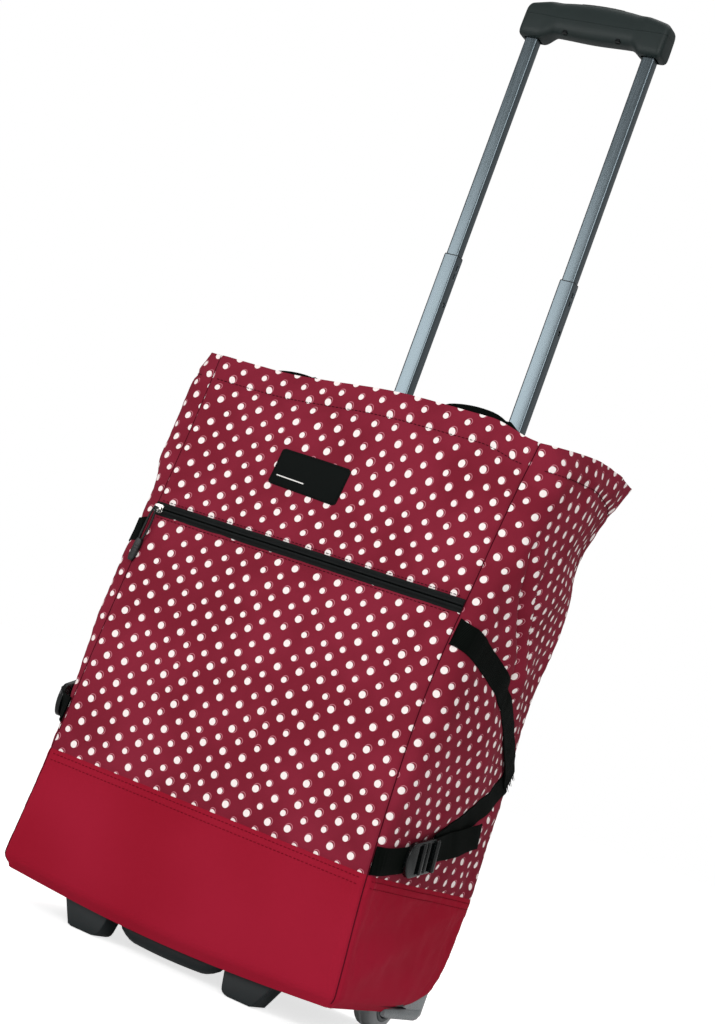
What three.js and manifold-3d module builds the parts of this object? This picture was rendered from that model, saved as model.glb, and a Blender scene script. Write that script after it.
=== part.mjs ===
// A shopping trolley: a dotted fabric bag on two wheels and two feet, with a three-stage handle.
// Millimetres, +Z up, front towards -Y, origin on the floor under the middle of the bounding box.
import * as THREE from 'three';
import { mergeVertices } from 'three/addons/utils/BufferGeometryUtils.js';
import Module from 'manifold-3d';

const wasm = await Module();
wasm.setup();

// Clearance kept between neighbouring pieces.
const GAP = 0.3;
// How far a cutting block runs past the piece it cuts, and a distance beyond every outer edge.
const OVERCUT = 10;
const FAR = 250;

// Bag. Its cross-sections are given at a few heights and run straight between them.
const BAG_LEVELS = [34, 145, 300, 436, 500, 551];
const HALF_WIDTH_FRONT = [186, 176, 169, 171, 174, 176];
const HALF_WIDTH_BACK = [180, 176, 167, 169, 168, 190];
const FRONT_Y = [-118.5, -121.5, -120, -103, -94.5, -87.5];
const BACK_Y = 117.5;
const SIDE_BULGE = [0, 4, 10, 20, 22, 16];
const BACK_RISE = 15;
const BAG_BOTTOM = BAG_LEVELS[0];
const BAND_TOP = BAG_LEVELS[1];
const BAG_TOP = BAG_LEVELS[5];
// The bag's pieces are drawn in a plain box of this size, and bagPoint gives them the bag's shape.
const BOX_HALF = 180;
const BOX_DEPTH = 236;
const CLOTH = 3;

// Front pocket and its zip.
const ZIP_Z = 389.5;
const ZIP_TAPE = 12.4;
const ZIP_TAPE_THICK = 2;
const COIL_HALF = 2;
const COIL_DEPTH = 1.6;
const COIL_ROOT = 1;
const ZIP_HALF = 176;
const SLIDER = { x: -158, half: 5, halfHigh: 4.5, plate: 2, rise: 4, bar: 1, postOut: 3.6, postIn: 2.4 };
const PULLER = {
  eye: 2.7, hole: 1.5, stemHalf: 1.6, tabHalf: 3.6, halfThick: 1.2, stemEnd: 24, tabTop: 22, tabEnd: 46,
};
const POCKET_LINING = { front: 7.5, thick: 1.5, overBand: 15, overZip: 10 };
const LABEL = { left: -69, right: 10.5, low: 443, high: 478, thick: 0.9 };

// Lining and stiffening.
const LINING_FROM_FRONT = 181;
const LINING_TOP = 540;
const LINING_THICK = 2;
const LINING_MARGIN = 1;
const FLOOR_THICK = 2;
const BOARD_THICK = 4;
const BOARD_MARGIN = 2;
const BOARD_BACK = 155;
const SIDE_STATIONS = 7;

// Side straps, measured in the plain box: distance from the front, then height.
const WEB = 25;
const WEB_THICK = 1.6;
const UPPER_STRAP = [[1, 371], [60, 357], [121, 339], [180, 312], [231, 283]];
const LOWER_STRAP = [[228, 253], [180, 233], [130, 204], [86, 178]];
const STRAP_TAIL = [[86, 176], [130, 189], [182, 206]];
const STRAP_ANCHOR = [[1, 158], [40, 165], [78, 174]];
const STRAP_FOLD = [[84, 177], [93, 180]];
const STRAP_LIFT = 1.4;
const TAIL_GAP = 0.5;
const FOLD_INSET = 0.1;
const FOLD_NARROWER = 1;
const BUCKLE = { y: 67, z: 171, halfLong: 26, halfHigh: 17, thick: 5, lift: 7, tilt: 0.24 };
const BUCKLE_SLOTS = { at: [-6, 14], half: 3, room: 0.5 };

// Telescopic handle.
const TUBE_X = 66.4;
const TUBE_Y = 87;
const FIXED_TUBE = { wide: 19.4, deep: 17.8, wall: 1.2, low: 37.3, high: 542 };
const MID_TUBE = { wide: 16.4, deep: 14.6, wall: 0.7, low: 405, high: 744.6 };
const INNER_TUBE = { wide: 14.4, deep: 11.8, wall: 0.7, low: 700, high: 1002 };
const TUBE_CORNER = 3;
const PLUG_CORNER = 2;
const BUSH = { flange: 12, spigot: 12, lap: 1 };
const LOCK_Z = 693;
const LOCK_BLOCK = { low: 14, high: 15, lap: 1, holeFrom: -3.5 };
const PIN = { r: 2.2, room: 0.4, from: -0.5, to: 7.1 };
const COLLAR = { half: 92, forward: 15, low: 530, high: 545, room: 0.5 };
const GRIP_HALF = 81;
const GRIP_DEEP = 28;
const GRIP_LOW = 988;
const GRIP_SPLIT = 1012;
const GRIP_JOINT = 0.15;
const GRIP_ENDS_TOP = 1025;
const GRIP_CROWN = 1046;
const GRIP_EASE = { low: 2, side: 4, top: 6, rim: 4, crest: 1 };
const BOSS = { from: 52, to: 42, bend: 50, drop: 8 };
const TROUGH = { half: 73, halfDeep: 5, below: 7, above: 10 };
const GRIP_SCREW = { x: 30, forward: 8.5, r: 1.6, headR: 3, headLow: 9, headHigh: 12, end: 7 };
const BUTTON = { half: 24, halfDeep: 6, shoulder: 1035, top: 1041, rim: 1, roomX: 0.5, roomY: 0.4 };
const CROSS_BAR = { half: 70, halfDeep: 3, low: 0.5, high: 6 };
const ROD = { r: 1.6, hole: 3, foot: 720 };

// Chassis.
const PLATE_LOW = 27;
const PLATE_HALF = 125;
const PLATE_AHEAD = 1.5;
const PLATE_CORNER = 12;
const SOCKET = { wide: 28, deep: 26, wall: 1, high: 60 };
const FOOT_X = 91;
const FOOT_FRONT = -99.5;
const FOOT_DEEP = 25;
const FOOT_SHAPE = { topHalf: 27, bendX: -23, bendZ: 7, curveX: -20, soleLeft: -13, soleRight: 12, rim: 2 };
const BAR = {
  half: 52, low: 6, side: 18, bend: 50, flat: 36, slotHalf: 42, slotLow: 19.5, front: 4, back: 26, rim: 3,
};
const WHEEL_X = 130;
const WHEEL_Y = 91.5;
const WHEEL_R = 30;
const WHEEL_WIDE = 22;
const HUB_R = 21;
const HUB_PROUD = 1;
const HUB_PLAY = 0.1;
const TYRE_SHOULDER = 3;
const HUB_SHOULDER = 1;
const WHEEL_SIDES = 36;
const AXLE_R = 3;
const AXLE_HEAD = { r: 5, inset: 0.2, stem: 2, end: 3 };
const HOUSING = { inner: 108, outer: 176, front: 46, back: 113.8, low: 24, high: 66, wall: 4 };
const HOUSING_CORNER = 26;
const WHEEL_SIDE_ROOM = 5;
const WHEEL_SLOT = 40;
const WELL_END = WHEEL_X + WHEEL_WIDE / 2 + WHEEL_SIDE_ROOM;

// Carry handles.
const HANDLE_HALF = 90;
const HANDLE_REACH = 130;
const HANDLE_TOP = 548;
const HANDLE_CORNER = 60;
const HANDLE_HALF_THICK = 1.25;
const HANDLE_FRONT_Y = -82;
const HANDLE_BACK_Y = 60;

const PAINT = {
  dotted: ['#8b2335', 0.85, 0],
  band: ['#a01f33', 0.7, 0],
  lining: ['#1b1b1e', 0.9, 0],
  webbing: ['#141618', 0.85, 0],
  zip: ['#15171a', 0.6, 0],
  nickel: ['#b9bcc0', 0.3, 1],
  label: ['#0f1012', 0.8, 0],
  tube: ['#6c767d', 0.35, 0.9],
  grip: ['#23292b', 0.5, 0],
  button: ['#1a1d1f', 0.45, 0],
  plate: ['#6f7678', 0.5, 0],
  foot: ['#2a3033', 0.5, 0],
  housing: ['#7d8385', 0.35, 0],
  tyre: ['#8c9092', 0.8, 0],
  hub: ['#3a3f42', 0.5, 0],
  steel: ['#a8abae', 0.35, 1],
  board: ['#4b4b4d', 0.9, 0],
};

const trolley = new THREE.Group();

function add(name, paint, geometry) {
  const [color, roughness, metalness] = PAINT[paint];
  const mesh = new THREE.Mesh(
    merged(geometry),
    new THREE.MeshStandardMaterial({ color, roughness, metalness }),
  );
  mesh.name = name;
  trolley.add(mesh);
}

// ---- solids -------------------------------------------------------------------------------

// Vertices that coincide become one, and triangles that shrank to a line are dropped.
function merged(geometry) {
  const bare = geometry.clone();
  bare.deleteAttribute('normal');
  bare.deleteAttribute('uv');
  const shell = mergeVertices(bare, 1e-3);
  const index = shell.index.array;
  const kept = [];
  for (let i = 0; i < index.length; i += 3) {
    const [a, b, c] = index.slice(i, i + 3);
    if (a !== b && b !== c && c !== a) kept.push(a, b, c);
  }
  shell.setIndex(kept);
  return shell;
}

function solid(geometry) {
  const shell = merged(geometry);
  return new wasm.Manifold(new wasm.Mesh({
    numProp: 3,
    vertProperties: new Float32Array(shell.attributes.position.array),
    triVerts: new Uint32Array(shell.index.array),
  }));
}

function fromSolid(body) {
  const mesh = body.getMesh();
  const geometry = new THREE.BufferGeometry();
  geometry.setAttribute('position', new THREE.BufferAttribute(mesh.vertProperties, 3));
  geometry.setIndex(new THREE.BufferAttribute(mesh.triVerts, 1));
  return geometry;
}

function join(first, ...others) {
  let body = solid(first);
  for (const other of others) body = body.add(solid(other));
  return fromSolid(body);
}

function cut(first, ...others) {
  let body = solid(first);
  for (const other of others) body = body.subtract(solid(other));
  return fromSolid(body);
}

function common(first, other) {
  return fromSolid(solid(first).intersect(solid(other)));
}

function block(x0, x1, y0, y1, z0, z1) {
  const geometry = new THREE.BoxGeometry(x1 - x0, y1 - y0, z1 - z0);
  return geometry.translate((x0 + x1) / 2, (y0 + y1) / 2, (z0 + z1) / 2);
}

function rodAlongX(radius, x0, x1, y, z, sides = 16) {
  const geometry = new THREE.CylinderGeometry(radius, radius, x1 - x0, sides);
  return geometry.rotateZ(-Math.PI / 2).translate((x0 + x1) / 2, y, z);
}

function rodAlongZ(radius, x, y, z0, z1, sides = 12) {
  const geometry = new THREE.CylinderGeometry(radius, radius, z1 - z0, sides);
  return geometry.rotateX(Math.PI / 2).translate(x, y, (z0 + z1) / 2);
}

// An outline in X and Z, pushed out along Y from y0 to y1, with an optional chamfer.
function alongY(shape, y0, y1, chamfer = 0) {
  const geometry = new THREE.ExtrudeGeometry(shape, {
    depth: y1 - y0 - 2 * chamfer,
    curveSegments: 5,
    bevelEnabled: chamfer > 0,
    bevelThickness: chamfer,
    bevelSize: chamfer,
    bevelOffset: -chamfer,
    bevelSegments: 1,
  });
  return geometry.rotateX(Math.PI / 2).translate(0, y1 - chamfer, 0);
}

// A plan outline pushed up from z0 to z1.
function alongZ(shape, z0, z1) {
  const geometry = new THREE.ExtrudeGeometry(shape, {
    depth: z1 - z0,
    curveSegments: 4,
    bevelEnabled: false,
  });
  return geometry.translate(0, 0, z0);
}

function turnedOut(geometry) {
  const index = geometry.index.array;
  for (let i = 0; i < index.length; i += 3) {
    [index[i], index[i + 1]] = [index[i + 1], index[i]];
  }
  return geometry;
}

function mirrored(geometry) {
  return turnedOut(merged(geometry).scale(-1, 1, 1));
}

function addPair(name, paint, rightGeometry) {
  add(`${name}_right`, paint, rightGeometry);
  add(`${name}_left`, paint, mirrored(rightGeometry));
}

// A roundish rectangle centred on the origin.
function roundRect(wide, deep, radius, PathClass = THREE.Shape) {
  const x = wide / 2;
  const y = deep / 2;
  const path = new PathClass();
  path.moveTo(-x + radius, -y);
  path.lineTo(x - radius, -y);
  path.absarc(x - radius, -y + radius, radius, -Math.PI / 2, 0);
  path.lineTo(x, y - radius);
  path.absarc(x - radius, y - radius, radius, 0, Math.PI / 2);
  path.lineTo(-x + radius, y);
  path.absarc(-x + radius, y - radius, radius, Math.PI / 2, Math.PI);
  path.lineTo(-x, -y + radius);
  path.absarc(-x + radius, -y + radius, radius, Math.PI, 1.5 * Math.PI);
  return path;
}

// ---- bag shape ----------------------------------------------------------------------------

function atLevel(values, z) {
  let i = 0;
  while (i < BAG_LEVELS.length - 2 && z > BAG_LEVELS[i + 1]) i += 1;
  const part = (z - BAG_LEVELS[i]) / (BAG_LEVELS[i + 1] - BAG_LEVELS[i]);
  return values[i] + part * (values[i + 1] - values[i]);
}

// Takes a point of the plain box (x across, y back from the front, z up) to the bag's shape.
function bagPoint(x, y, z) {
  const back = y / BOX_DEPTH;
  const front = atLevel(FRONT_Y, z);
  const halfFront = atLevel(HALF_WIDTH_FRONT, z);
  const halfBack = atLevel(HALF_WIDTH_BACK, z);
  const bulge = atLevel(SIDE_BULGE, z) * Math.sin(Math.PI * THREE.MathUtils.clamp(back, 0, 1));
  const half = halfFront + back * (halfBack - halfFront) + bulge;
  const rise = (BACK_RISE * back * Math.max(0, z - BAG_LEVELS[4])) / (BAG_TOP - BAG_LEVELS[4]);
  return [(x / BOX_HALF) * half, front + back * (BACK_Y - front), z + rise];
}

function rowsBetween(z0, z1) {
  return [z0, ...BAG_LEVELS.filter((level) => level > z0 && level < z1), z1];
}

// A wall of the bag: a plan outline in the plain box, with a row of vertices at each level.
function clothWall(outline, z0, z1) {
  const rows = rowsBetween(z0, z1);
  const geometry = new THREE.ExtrudeGeometry(
    new THREE.Shape(outline.map(([x, y]) => new THREE.Vector2(x, y))),
    { depth: rows.length - 1, steps: rows.length - 1, bevelEnabled: false },
  );
  const position = geometry.attributes.position;
  for (let i = 0; i < position.count; i += 1) {
    const z = rows[Math.round(position.getZ(i))];
    position.setXYZ(i, ...bagPoint(position.getX(i), position.getY(i), z));
  }
  return geometry;
}

function flatWall(x0, x1, y0, y1, z0, z1) {
  return clothWall([[x0, y0], [x1, y0], [x1, y1], [x0, y1]], z0, z1);
}

// The right side wall, with extra stations front to back so that it can bulge.
function sideWall(z0, z1) {
  const first = CLOTH + GAP;
  const last = BOX_DEPTH - CLOTH - GAP;
  const step = (last - first) / (SIDE_STATIONS - 1);
  const stations = Array.from({ length: SIDE_STATIONS }, (_, i) => first + step * i);
  const inner = stations.map((y) => [BOX_HALF - CLOTH, y]).reverse();
  return clothWall([...stations.map((y) => [BOX_HALF, y]), ...inner], z0, z1);
}

// Webbing on the right side: centre points in the plain box, lying between two distances off it.
function webbing(points, width, low, high) {
  const rings = points.map(([y, z], i) => {
    const [ya, za] = points[Math.max(0, i - 1)];
    const [yb, zb] = points[Math.min(points.length - 1, i + 1)];
    const length = Math.hypot(yb - ya, zb - za);
    const side = [((za - zb) / length) * (width / 2), ((yb - ya) / length) * (width / 2)];
    const corner = (sign, off) => {
      const [px, py, pz] = bagPoint(BOX_HALF, y + sign * side[0], z + sign * side[1]);
      return [px + off, py, pz];
    };
    return [corner(-1, low), corner(-1, high), corner(1, high), corner(1, low)];
  });
  const indices = [];
  for (let i = 0; i + 1 < rings.length; i += 1) {
    for (let k = 0; k < 4; k += 1) {
      const a = 4 * i + k;
      const b = 4 * i + ((k + 1) % 4);
      indices.push(a, b, a + 4, b, b + 4, a + 4);
    }
  }
  const end = 4 * (rings.length - 1);
  indices.push(0, 2, 1, 0, 3, 2, end, end + 1, end + 2, end, end + 2, end + 3);
  const geometry = new THREE.BufferGeometry();
  geometry.setAttribute('position', new THREE.Float32BufferAttribute(rings.flat(2), 3));
  geometry.setIndex(indices);
  const body = solid(geometry);
  return body.volume() > 0 ? geometry : turnedOut(geometry);
}

// ---- bag ----------------------------------------------------------------------------------

function buildBag() {
  const zipLow = ZIP_Z - ZIP_TAPE / 2;
  const zipHigh = ZIP_Z + ZIP_TAPE / 2;
  const inside = BOX_HALF - CLOTH - GAP;
  const backInner = BOX_DEPTH - CLOTH;

  add('band_front', 'band', flatWall(-BOX_HALF, BOX_HALF, 0, CLOTH, BAG_BOTTOM, BAND_TOP));
  add('pocket_panel', 'dotted',
    flatWall(-BOX_HALF, BOX_HALF, 0, CLOTH, BAND_TOP + GAP, zipLow - GAP));
  add('front_panel', 'dotted', flatWall(-BOX_HALF, BOX_HALF, 0, CLOTH, zipHigh + GAP, BAG_TOP));
  const pocketBack = POCKET_LINING.front + POCKET_LINING.thick;
  add('pocket_lining', 'lining', flatWall(-inside, inside, POCKET_LINING.front, pocketBack,
    BAND_TOP + POCKET_LINING.overBand, zipHigh + POCKET_LINING.overZip));

  const tape = flatWall(-ZIP_HALF, ZIP_HALF, 0, ZIP_TAPE_THICK, zipLow, zipHigh);
  const coil = flatWall(-ZIP_HALF, ZIP_HALF, -COIL_DEPTH, COIL_ROOT,
    ZIP_Z - COIL_HALF, ZIP_Z + COIL_HALF);
  add('zip_tape', 'zip', join(tape, coil));
  add('label_patch', 'label',
    flatWall(LABEL.left, LABEL.right, -LABEL.thick - GAP, -GAP, LABEL.low, LABEL.high));

  addPair('band_side', 'band', sideWall(BAG_BOTTOM, BAND_TOP));
  addPair('side_panel', 'dotted', sideWall(BAND_TOP + GAP, BAG_TOP));

  const wheelSlot = (sign) => {
    const xs = [sign * HOUSING.inner, sign * (HOUSING.inner + WHEEL_SLOT)].sort((a, b) => a - b);
    return block(...xs, HOUSING.back - OVERCUT, BACK_Y + OVERCUT, 0, HOUSING.high + GAP);
  };
  const bandBack = flatWall(-BOX_HALF, BOX_HALF, backInner, BOX_DEPTH, BAG_BOTTOM, BAND_TOP);
  add('band_back', 'band', cut(bandBack, wheelSlot(-1), wheelSlot(1)));
  add('back_panel', 'dotted',
    flatWall(-BOX_HALF, BOX_HALF, backInner, BOX_DEPTH, BAND_TOP + GAP, BAG_TOP));

  const housingRoom = (sign) => {
    const xs = [sign * (HOUSING.inner - GAP), sign * FAR].sort((a, b) => a - b);
    return block(...xs, HOUSING.front - GAP, FAR, 0, HOUSING.high + GAP);
  };
  const socketRoom = (x) => bar(SOCKET, GAP, x, BAG_BOTTOM - OVERCUT, BAG_BOTTOM + OVERCUT);
  const cloth = flatWall(-inside, inside, CLOTH + GAP, backInner - GAP,
    BAG_BOTTOM, BAG_BOTTOM + FLOOR_THICK);
  add('bag_floor', 'lining', cut(cloth, housingRoom(-1), housingRoom(1),
    socketRoom(-TUBE_X), socketRoom(TUBE_X)));
  const boardLow = BAG_BOTTOM + FLOOR_THICK + GAP;
  add('base_board', 'board',
    flatWall(BOARD_MARGIN - inside, inside - BOARD_MARGIN, CLOTH + BOARD_MARGIN, BOARD_BACK,
      boardLow, boardLow + BOARD_THICK));
  const lining = flatWall(LINING_MARGIN - inside, inside - LINING_MARGIN,
    LINING_FROM_FRONT, LINING_FROM_FRONT + LINING_THICK, boardLow, LINING_TOP);
  add('back_lining', 'lining', cut(lining, housingRoom(-1), housingRoom(1)));
}

// ---- zip slider and puller ------------------------------------------------------------------

function buildZipPull() {
  const { x, half, halfHigh, plate, rise, postOut, postIn } = SLIDER;
  const face = bagPoint(0, -COIL_DEPTH, ZIP_Z)[1] - GAP;
  const barY = face - plate - rise;
  const post = (x0, x1) => block(x0, x1, barY - SLIDER.bar, face - plate / 2,
    ZIP_Z - SLIDER.bar, ZIP_Z + SLIDER.bar);
  add('zip_slider', 'nickel', join(
    block(x - half, x + half, face - plate, face, ZIP_Z - halfHigh, ZIP_Z + halfHigh),
    post(x - postOut, x - postIn),
    post(x + postIn, x + postOut),
    rodAlongX(SLIDER.bar, x - (postIn + postOut) / 2, x + (postIn + postOut) / 2, barY, ZIP_Z, 10),
  ));
  const { eye, hole, stemHalf, tabHalf, halfThick, stemEnd, tabTop, tabEnd } = PULLER;
  const stem = block(x - stemHalf, x + stemHalf, barY - halfThick, barY + halfThick,
    ZIP_Z - stemEnd, ZIP_Z - stemHalf);
  const tab = block(x - tabHalf, x + tabHalf, barY - halfThick, barY + halfThick,
    ZIP_Z - tabEnd, ZIP_Z - tabTop);
  const ring = rodAlongX(eye, x - stemHalf, x + stemHalf, barY, ZIP_Z, 14);
  const bore = rodAlongX(hole, x - 2 * stemHalf, x + 2 * stemHalf, barY, ZIP_Z, 12);
  add('zip_puller', 'zip', cut(join(ring, stem, tab), bore));
}

// ---- side straps ----------------------------------------------------------------------------

function buildStraps() {
  const low = STRAP_LIFT;
  const high = low + WEB_THICK;
  const tailLow = high + TAIL_GAP;
  addPair('strap_upper', 'webbing', webbing(UPPER_STRAP, WEB, low, high));
  addPair('strap_anchor', 'webbing', webbing(STRAP_ANCHOR, WEB, low, high));
  addPair('strap_lower', 'webbing', join(
    webbing(LOWER_STRAP, WEB, low, high),
    webbing(STRAP_TAIL, WEB, tailLow, tailLow + WEB_THICK),
    webbing(STRAP_FOLD, WEB - FOLD_NARROWER, low + FOLD_INSET, tailLow + WEB_THICK - FOLD_INSET),
  ));
  addPair('ladder_lock', 'button', buckle());
}

// A two-slot buckle: round at the front, straight at the back.
function buckle() {
  const { halfLong, halfHigh, thick } = BUCKLE;
  const [x, y, z] = bagPoint(BOX_HALF, BUCKLE.y, BUCKLE.z);
  const shape = new THREE.Shape();
  shape.moveTo(halfLong, -halfHigh);
  shape.lineTo(halfLong, halfHigh);
  shape.lineTo(-halfLong + halfHigh, halfHigh);
  shape.absarc(-halfLong + halfHigh, 0, halfHigh, Math.PI / 2, 1.5 * Math.PI);
  const blank = new THREE.ExtrudeGeometry(shape, {
    depth: thick, curveSegments: 8, bevelEnabled: false,
  });
  const { at, half, room } = BUCKLE_SLOTS;
  const halfSlot = WEB / 2 + room;
  const slots = at.map((u) => block(u - half, u + half, -halfSlot, halfSlot, -OVERCUT, thick + OVERCUT));
  const geometry = cut(blank, ...slots);
  const toSide = new THREE.Matrix4().makeBasis(
    new THREE.Vector3(0, 1, 0), new THREE.Vector3(0, 0, 1), new THREE.Vector3(1, 0, 0),
  );
  return geometry.rotateZ(BUCKLE.tilt).applyMatrix4(toSide).translate(x + BUCKLE.lift, y, z);
}

// ---- telescopic handle ------------------------------------------------------------------------

function tube({ wide, deep, wall, low, high }, x) {
  const shape = roundRect(wide, deep, TUBE_CORNER);
  shape.holes.push(roundRect(wide - 2 * wall, deep - 2 * wall, TUBE_CORNER - wall, THREE.Path));
  return alongZ(shape, low, high).translate(x, TUBE_Y, 0);
}

function bar({ wide, deep }, grow, x, z0, z1) {
  return block(
    x - wide / 2 - grow, x + wide / 2 + grow,
    TUBE_Y - deep / 2 - grow, TUBE_Y + deep / 2 + grow, z0, z1,
  );
}

function bore({ wide, deep, wall }) {
  return { wide: wide - 2 * wall, deep: deep - 2 * wall };
}

// A plug that fits a tube's round-cornered bore with a gap all round.
function plug({ wide, deep }, x, z0, z1) {
  const shape = roundRect(wide - 2 * GAP, deep - 2 * GAP, PLUG_CORNER);
  return alongZ(shape, z0, z1).translate(x, TUBE_Y, 0);
}

function buildTubes(side, x) {
  const outside = x + MID_TUBE.wide;
  add(`fixed_tube_${side}`, 'tube', tube(FIXED_TUBE, x));
  const pinHole = rodAlongX(PIN.r + PIN.room, x, outside, TUBE_Y, LOCK_Z);
  add(`mid_tube_${side}`, 'tube', cut(tube(MID_TUBE, x), pinHole));
  add(`inner_tube_${side}`, 'tube', tube(INNER_TUBE, x));

  add(`mid_bush_${side}`, 'button', join(
    plug(MID_TUBE, x, MID_TUBE.low - BUSH.flange, MID_TUBE.low - GAP),
    plug(bore(MID_TUBE), x, MID_TUBE.low - BUSH.lap, MID_TUBE.low + BUSH.spigot),
  ));
  const top = INNER_TUBE.low - GAP;
  const lockHole = rodAlongX(PIN.r + GAP, x + LOCK_BLOCK.holeFrom, outside, TUBE_Y, LOCK_Z);
  add(`lock_block_${side}`, 'button', cut(
    join(
      plug(bore(MID_TUBE), x, top - LOCK_BLOCK.low, top),
      plug(bore(INNER_TUBE), x, top - LOCK_BLOCK.lap, top + LOCK_BLOCK.high),
    ),
    lockHole,
  ));
  add(`lock_pin_${side}`, 'steel', rodAlongX(PIN.r, x + PIN.from, x + PIN.to, TUBE_Y, LOCK_Z));
}

function collar() {
  const { half, forward, low, high, room } = COLLAR;
  const rooms = [-TUBE_X, TUBE_X].flatMap((x) => [
    bar(FIXED_TUBE, GAP, x, low - OVERCUT, FIXED_TUBE.high + GAP),
    bar(MID_TUBE, room, x, low, high + OVERCUT),
  ]);
  return cut(block(-half, half, TUBE_Y - forward, BACK_Y - CLOTH - 2 * room, low, high), ...rooms);
}

function gripShape() {
  const { low, side, top, crest } = GRIP_EASE;
  const under = GRIP_LOW + BOSS.drop;
  const shape = new THREE.Shape();
  shape.moveTo(-GRIP_HALF + low, GRIP_LOW);
  shape.lineTo(-BOSS.from, GRIP_LOW);
  shape.quadraticCurveTo(-BOSS.bend, under, -BOSS.to, under);
  shape.lineTo(BOSS.to, under);
  shape.quadraticCurveTo(BOSS.bend, under, BOSS.from, GRIP_LOW);
  shape.lineTo(GRIP_HALF - low, GRIP_LOW);
  shape.lineTo(GRIP_HALF, GRIP_LOW + side);
  shape.lineTo(GRIP_HALF, GRIP_ENDS_TOP - top);
  shape.quadraticCurveTo(GRIP_HALF, GRIP_ENDS_TOP, GRIP_HALF - top, GRIP_ENDS_TOP + crest);
  shape.quadraticCurveTo(0, GRIP_CROWN, -GRIP_HALF + top, GRIP_ENDS_TOP + crest);
  shape.quadraticCurveTo(-GRIP_HALF, GRIP_ENDS_TOP, -GRIP_HALF, GRIP_ENDS_TOP - top);
  shape.lineTo(-GRIP_HALF, GRIP_LOW + side);
  return shape;
}

// A slab across the whole grip, between two heights.
function gripSlab(z0, z1) {
  return block(-GRIP_HALF - OVERCUT, GRIP_HALF + OVERCUT, TUBE_Y - GRIP_DEEP, TUBE_Y + GRIP_DEEP, z0, z1);
}

// Moulded in two halves, with a trough inside for the cross bar of the push rods.
function buildGrip() {
  const halfDeep = GRIP_DEEP / 2;
  const whole = alongY(gripShape(), TUBE_Y - halfDeep, TUBE_Y + halfDeep, GRIP_EASE.rim);
  const lower = gripSlab(GRIP_LOW - OVERCUT, GRIP_SPLIT - GRIP_JOINT);
  const upper = gripSlab(GRIP_SPLIT + GRIP_JOINT, GRIP_CROWN);
  const trough = block(-TROUGH.half, TROUGH.half, TUBE_Y - TROUGH.halfDeep, TUBE_Y + TROUGH.halfDeep,
    GRIP_SPLIT - TROUGH.below, GRIP_SPLIT + TROUGH.above);
  const { r, headR, headLow, headHigh, end } = GRIP_SCREW;
  const screwY = TUBE_Y - GRIP_SCREW.forward;
  const screwAt = (s) => s * GRIP_SCREW.x;
  const sides = [-1, 1];
  const screwHole = (s) => rodAlongZ(r + GAP, screwAt(s), screwY, GRIP_LOW, GRIP_SPLIT + end + 1);
  const headHole = (s) => rodAlongZ(headR + GAP, screwAt(s), screwY, GRIP_LOW, GRIP_LOW + headHigh + GAP);

  add('grip_body', 'grip', cut(
    common(whole, lower), trough,
    ...sides.map((s) => bar(INNER_TUBE, GAP, s * TUBE_X, GRIP_LOW - OVERCUT, INNER_TUBE.high + GAP)),
    ...sides.map((s) => rodAlongZ(ROD.hole, s * TUBE_X, TUBE_Y, INNER_TUBE.high - 1, GRIP_SPLIT)),
    ...sides.flatMap((s) => [screwHole(s), headHole(s)]),
  ));
  const roomX = BUTTON.half + BUTTON.roomX;
  const roomY = BUTTON.halfDeep + BUTTON.roomY;
  const buttonRoom = block(-roomX, roomX, TUBE_Y - roomY, TUBE_Y + roomY, GRIP_SPLIT - 1, GRIP_CROWN);
  add('grip_cover', 'grip', cut(
    common(whole, upper), trough, buttonRoom, ...sides.map((s) => screwHole(s)),
  ));
  for (const [side, s] of [['left', -1], ['right', 1]]) {
    add(`grip_screw_${side}`, 'steel', join(
      rodAlongZ(r, screwAt(s), screwY, GRIP_LOW + headLow, GRIP_SPLIT + end),
      rodAlongZ(headR, screwAt(s), screwY, GRIP_LOW + headLow, GRIP_LOW + headHigh),
    ));
  }
  buildRelease(sides);
}

// The button and, under it, the cross bar with a rod down each tube.
function buildRelease(sides) {
  const { half, halfDeep, shoulder, top, rim } = BUTTON;
  const crossTop = GRIP_SPLIT + CROSS_BAR.high;
  const button = new THREE.Shape();
  button.moveTo(-half, crossTop + GAP);
  button.lineTo(half, crossTop + GAP);
  button.lineTo(half, shoulder);
  button.quadraticCurveTo(0, top, -half, shoulder);
  add('release_button', 'button', alongY(button, TUBE_Y - halfDeep, TUBE_Y + halfDeep, rim));
  add('push_rods', 'steel', join(
    block(-CROSS_BAR.half, CROSS_BAR.half, TUBE_Y - CROSS_BAR.halfDeep, TUBE_Y + CROSS_BAR.halfDeep,
      GRIP_SPLIT + CROSS_BAR.low, crossTop),
    ...sides.map((s) => rodAlongZ(ROD.r, s * TUBE_X, TUBE_Y, ROD.foot, GRIP_SPLIT + 2 * CROSS_BAR.low)),
  ));
}

// ---- chassis ------------------------------------------------------------------------------------

function buildBasePlate() {
  const high = BAG_BOTTOM - GAP;
  const front = FOOT_FRONT - PLATE_AHEAD;
  const back = HOUSING.back;
  const shape = roundRect(2 * PLATE_HALF, back - front, PLATE_CORNER);
  const plate = alongZ(shape, PLATE_LOW, high).translate(0, (front + back) / 2, 0);
  const corner = (sign) => {
    const xs = [sign * (HOUSING.inner - GAP), sign * FAR].sort((a, b) => a - b);
    return block(...xs, HOUSING.front - GAP, FAR, 0, SOCKET.high);
  };
  const socket = (x) => bar(SOCKET, 0, x, PLATE_LOW + SOCKET.wall, SOCKET.high);
  const seat = (x) => bar(FIXED_TUBE, GAP, x, FIXED_TUBE.low - GAP, SOCKET.high + OVERCUT);
  return cut(
    join(plate, socket(-TUBE_X), socket(TUBE_X)),
    corner(-1), corner(1), seat(-TUBE_X), seat(TUBE_X),
  );
}

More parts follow.
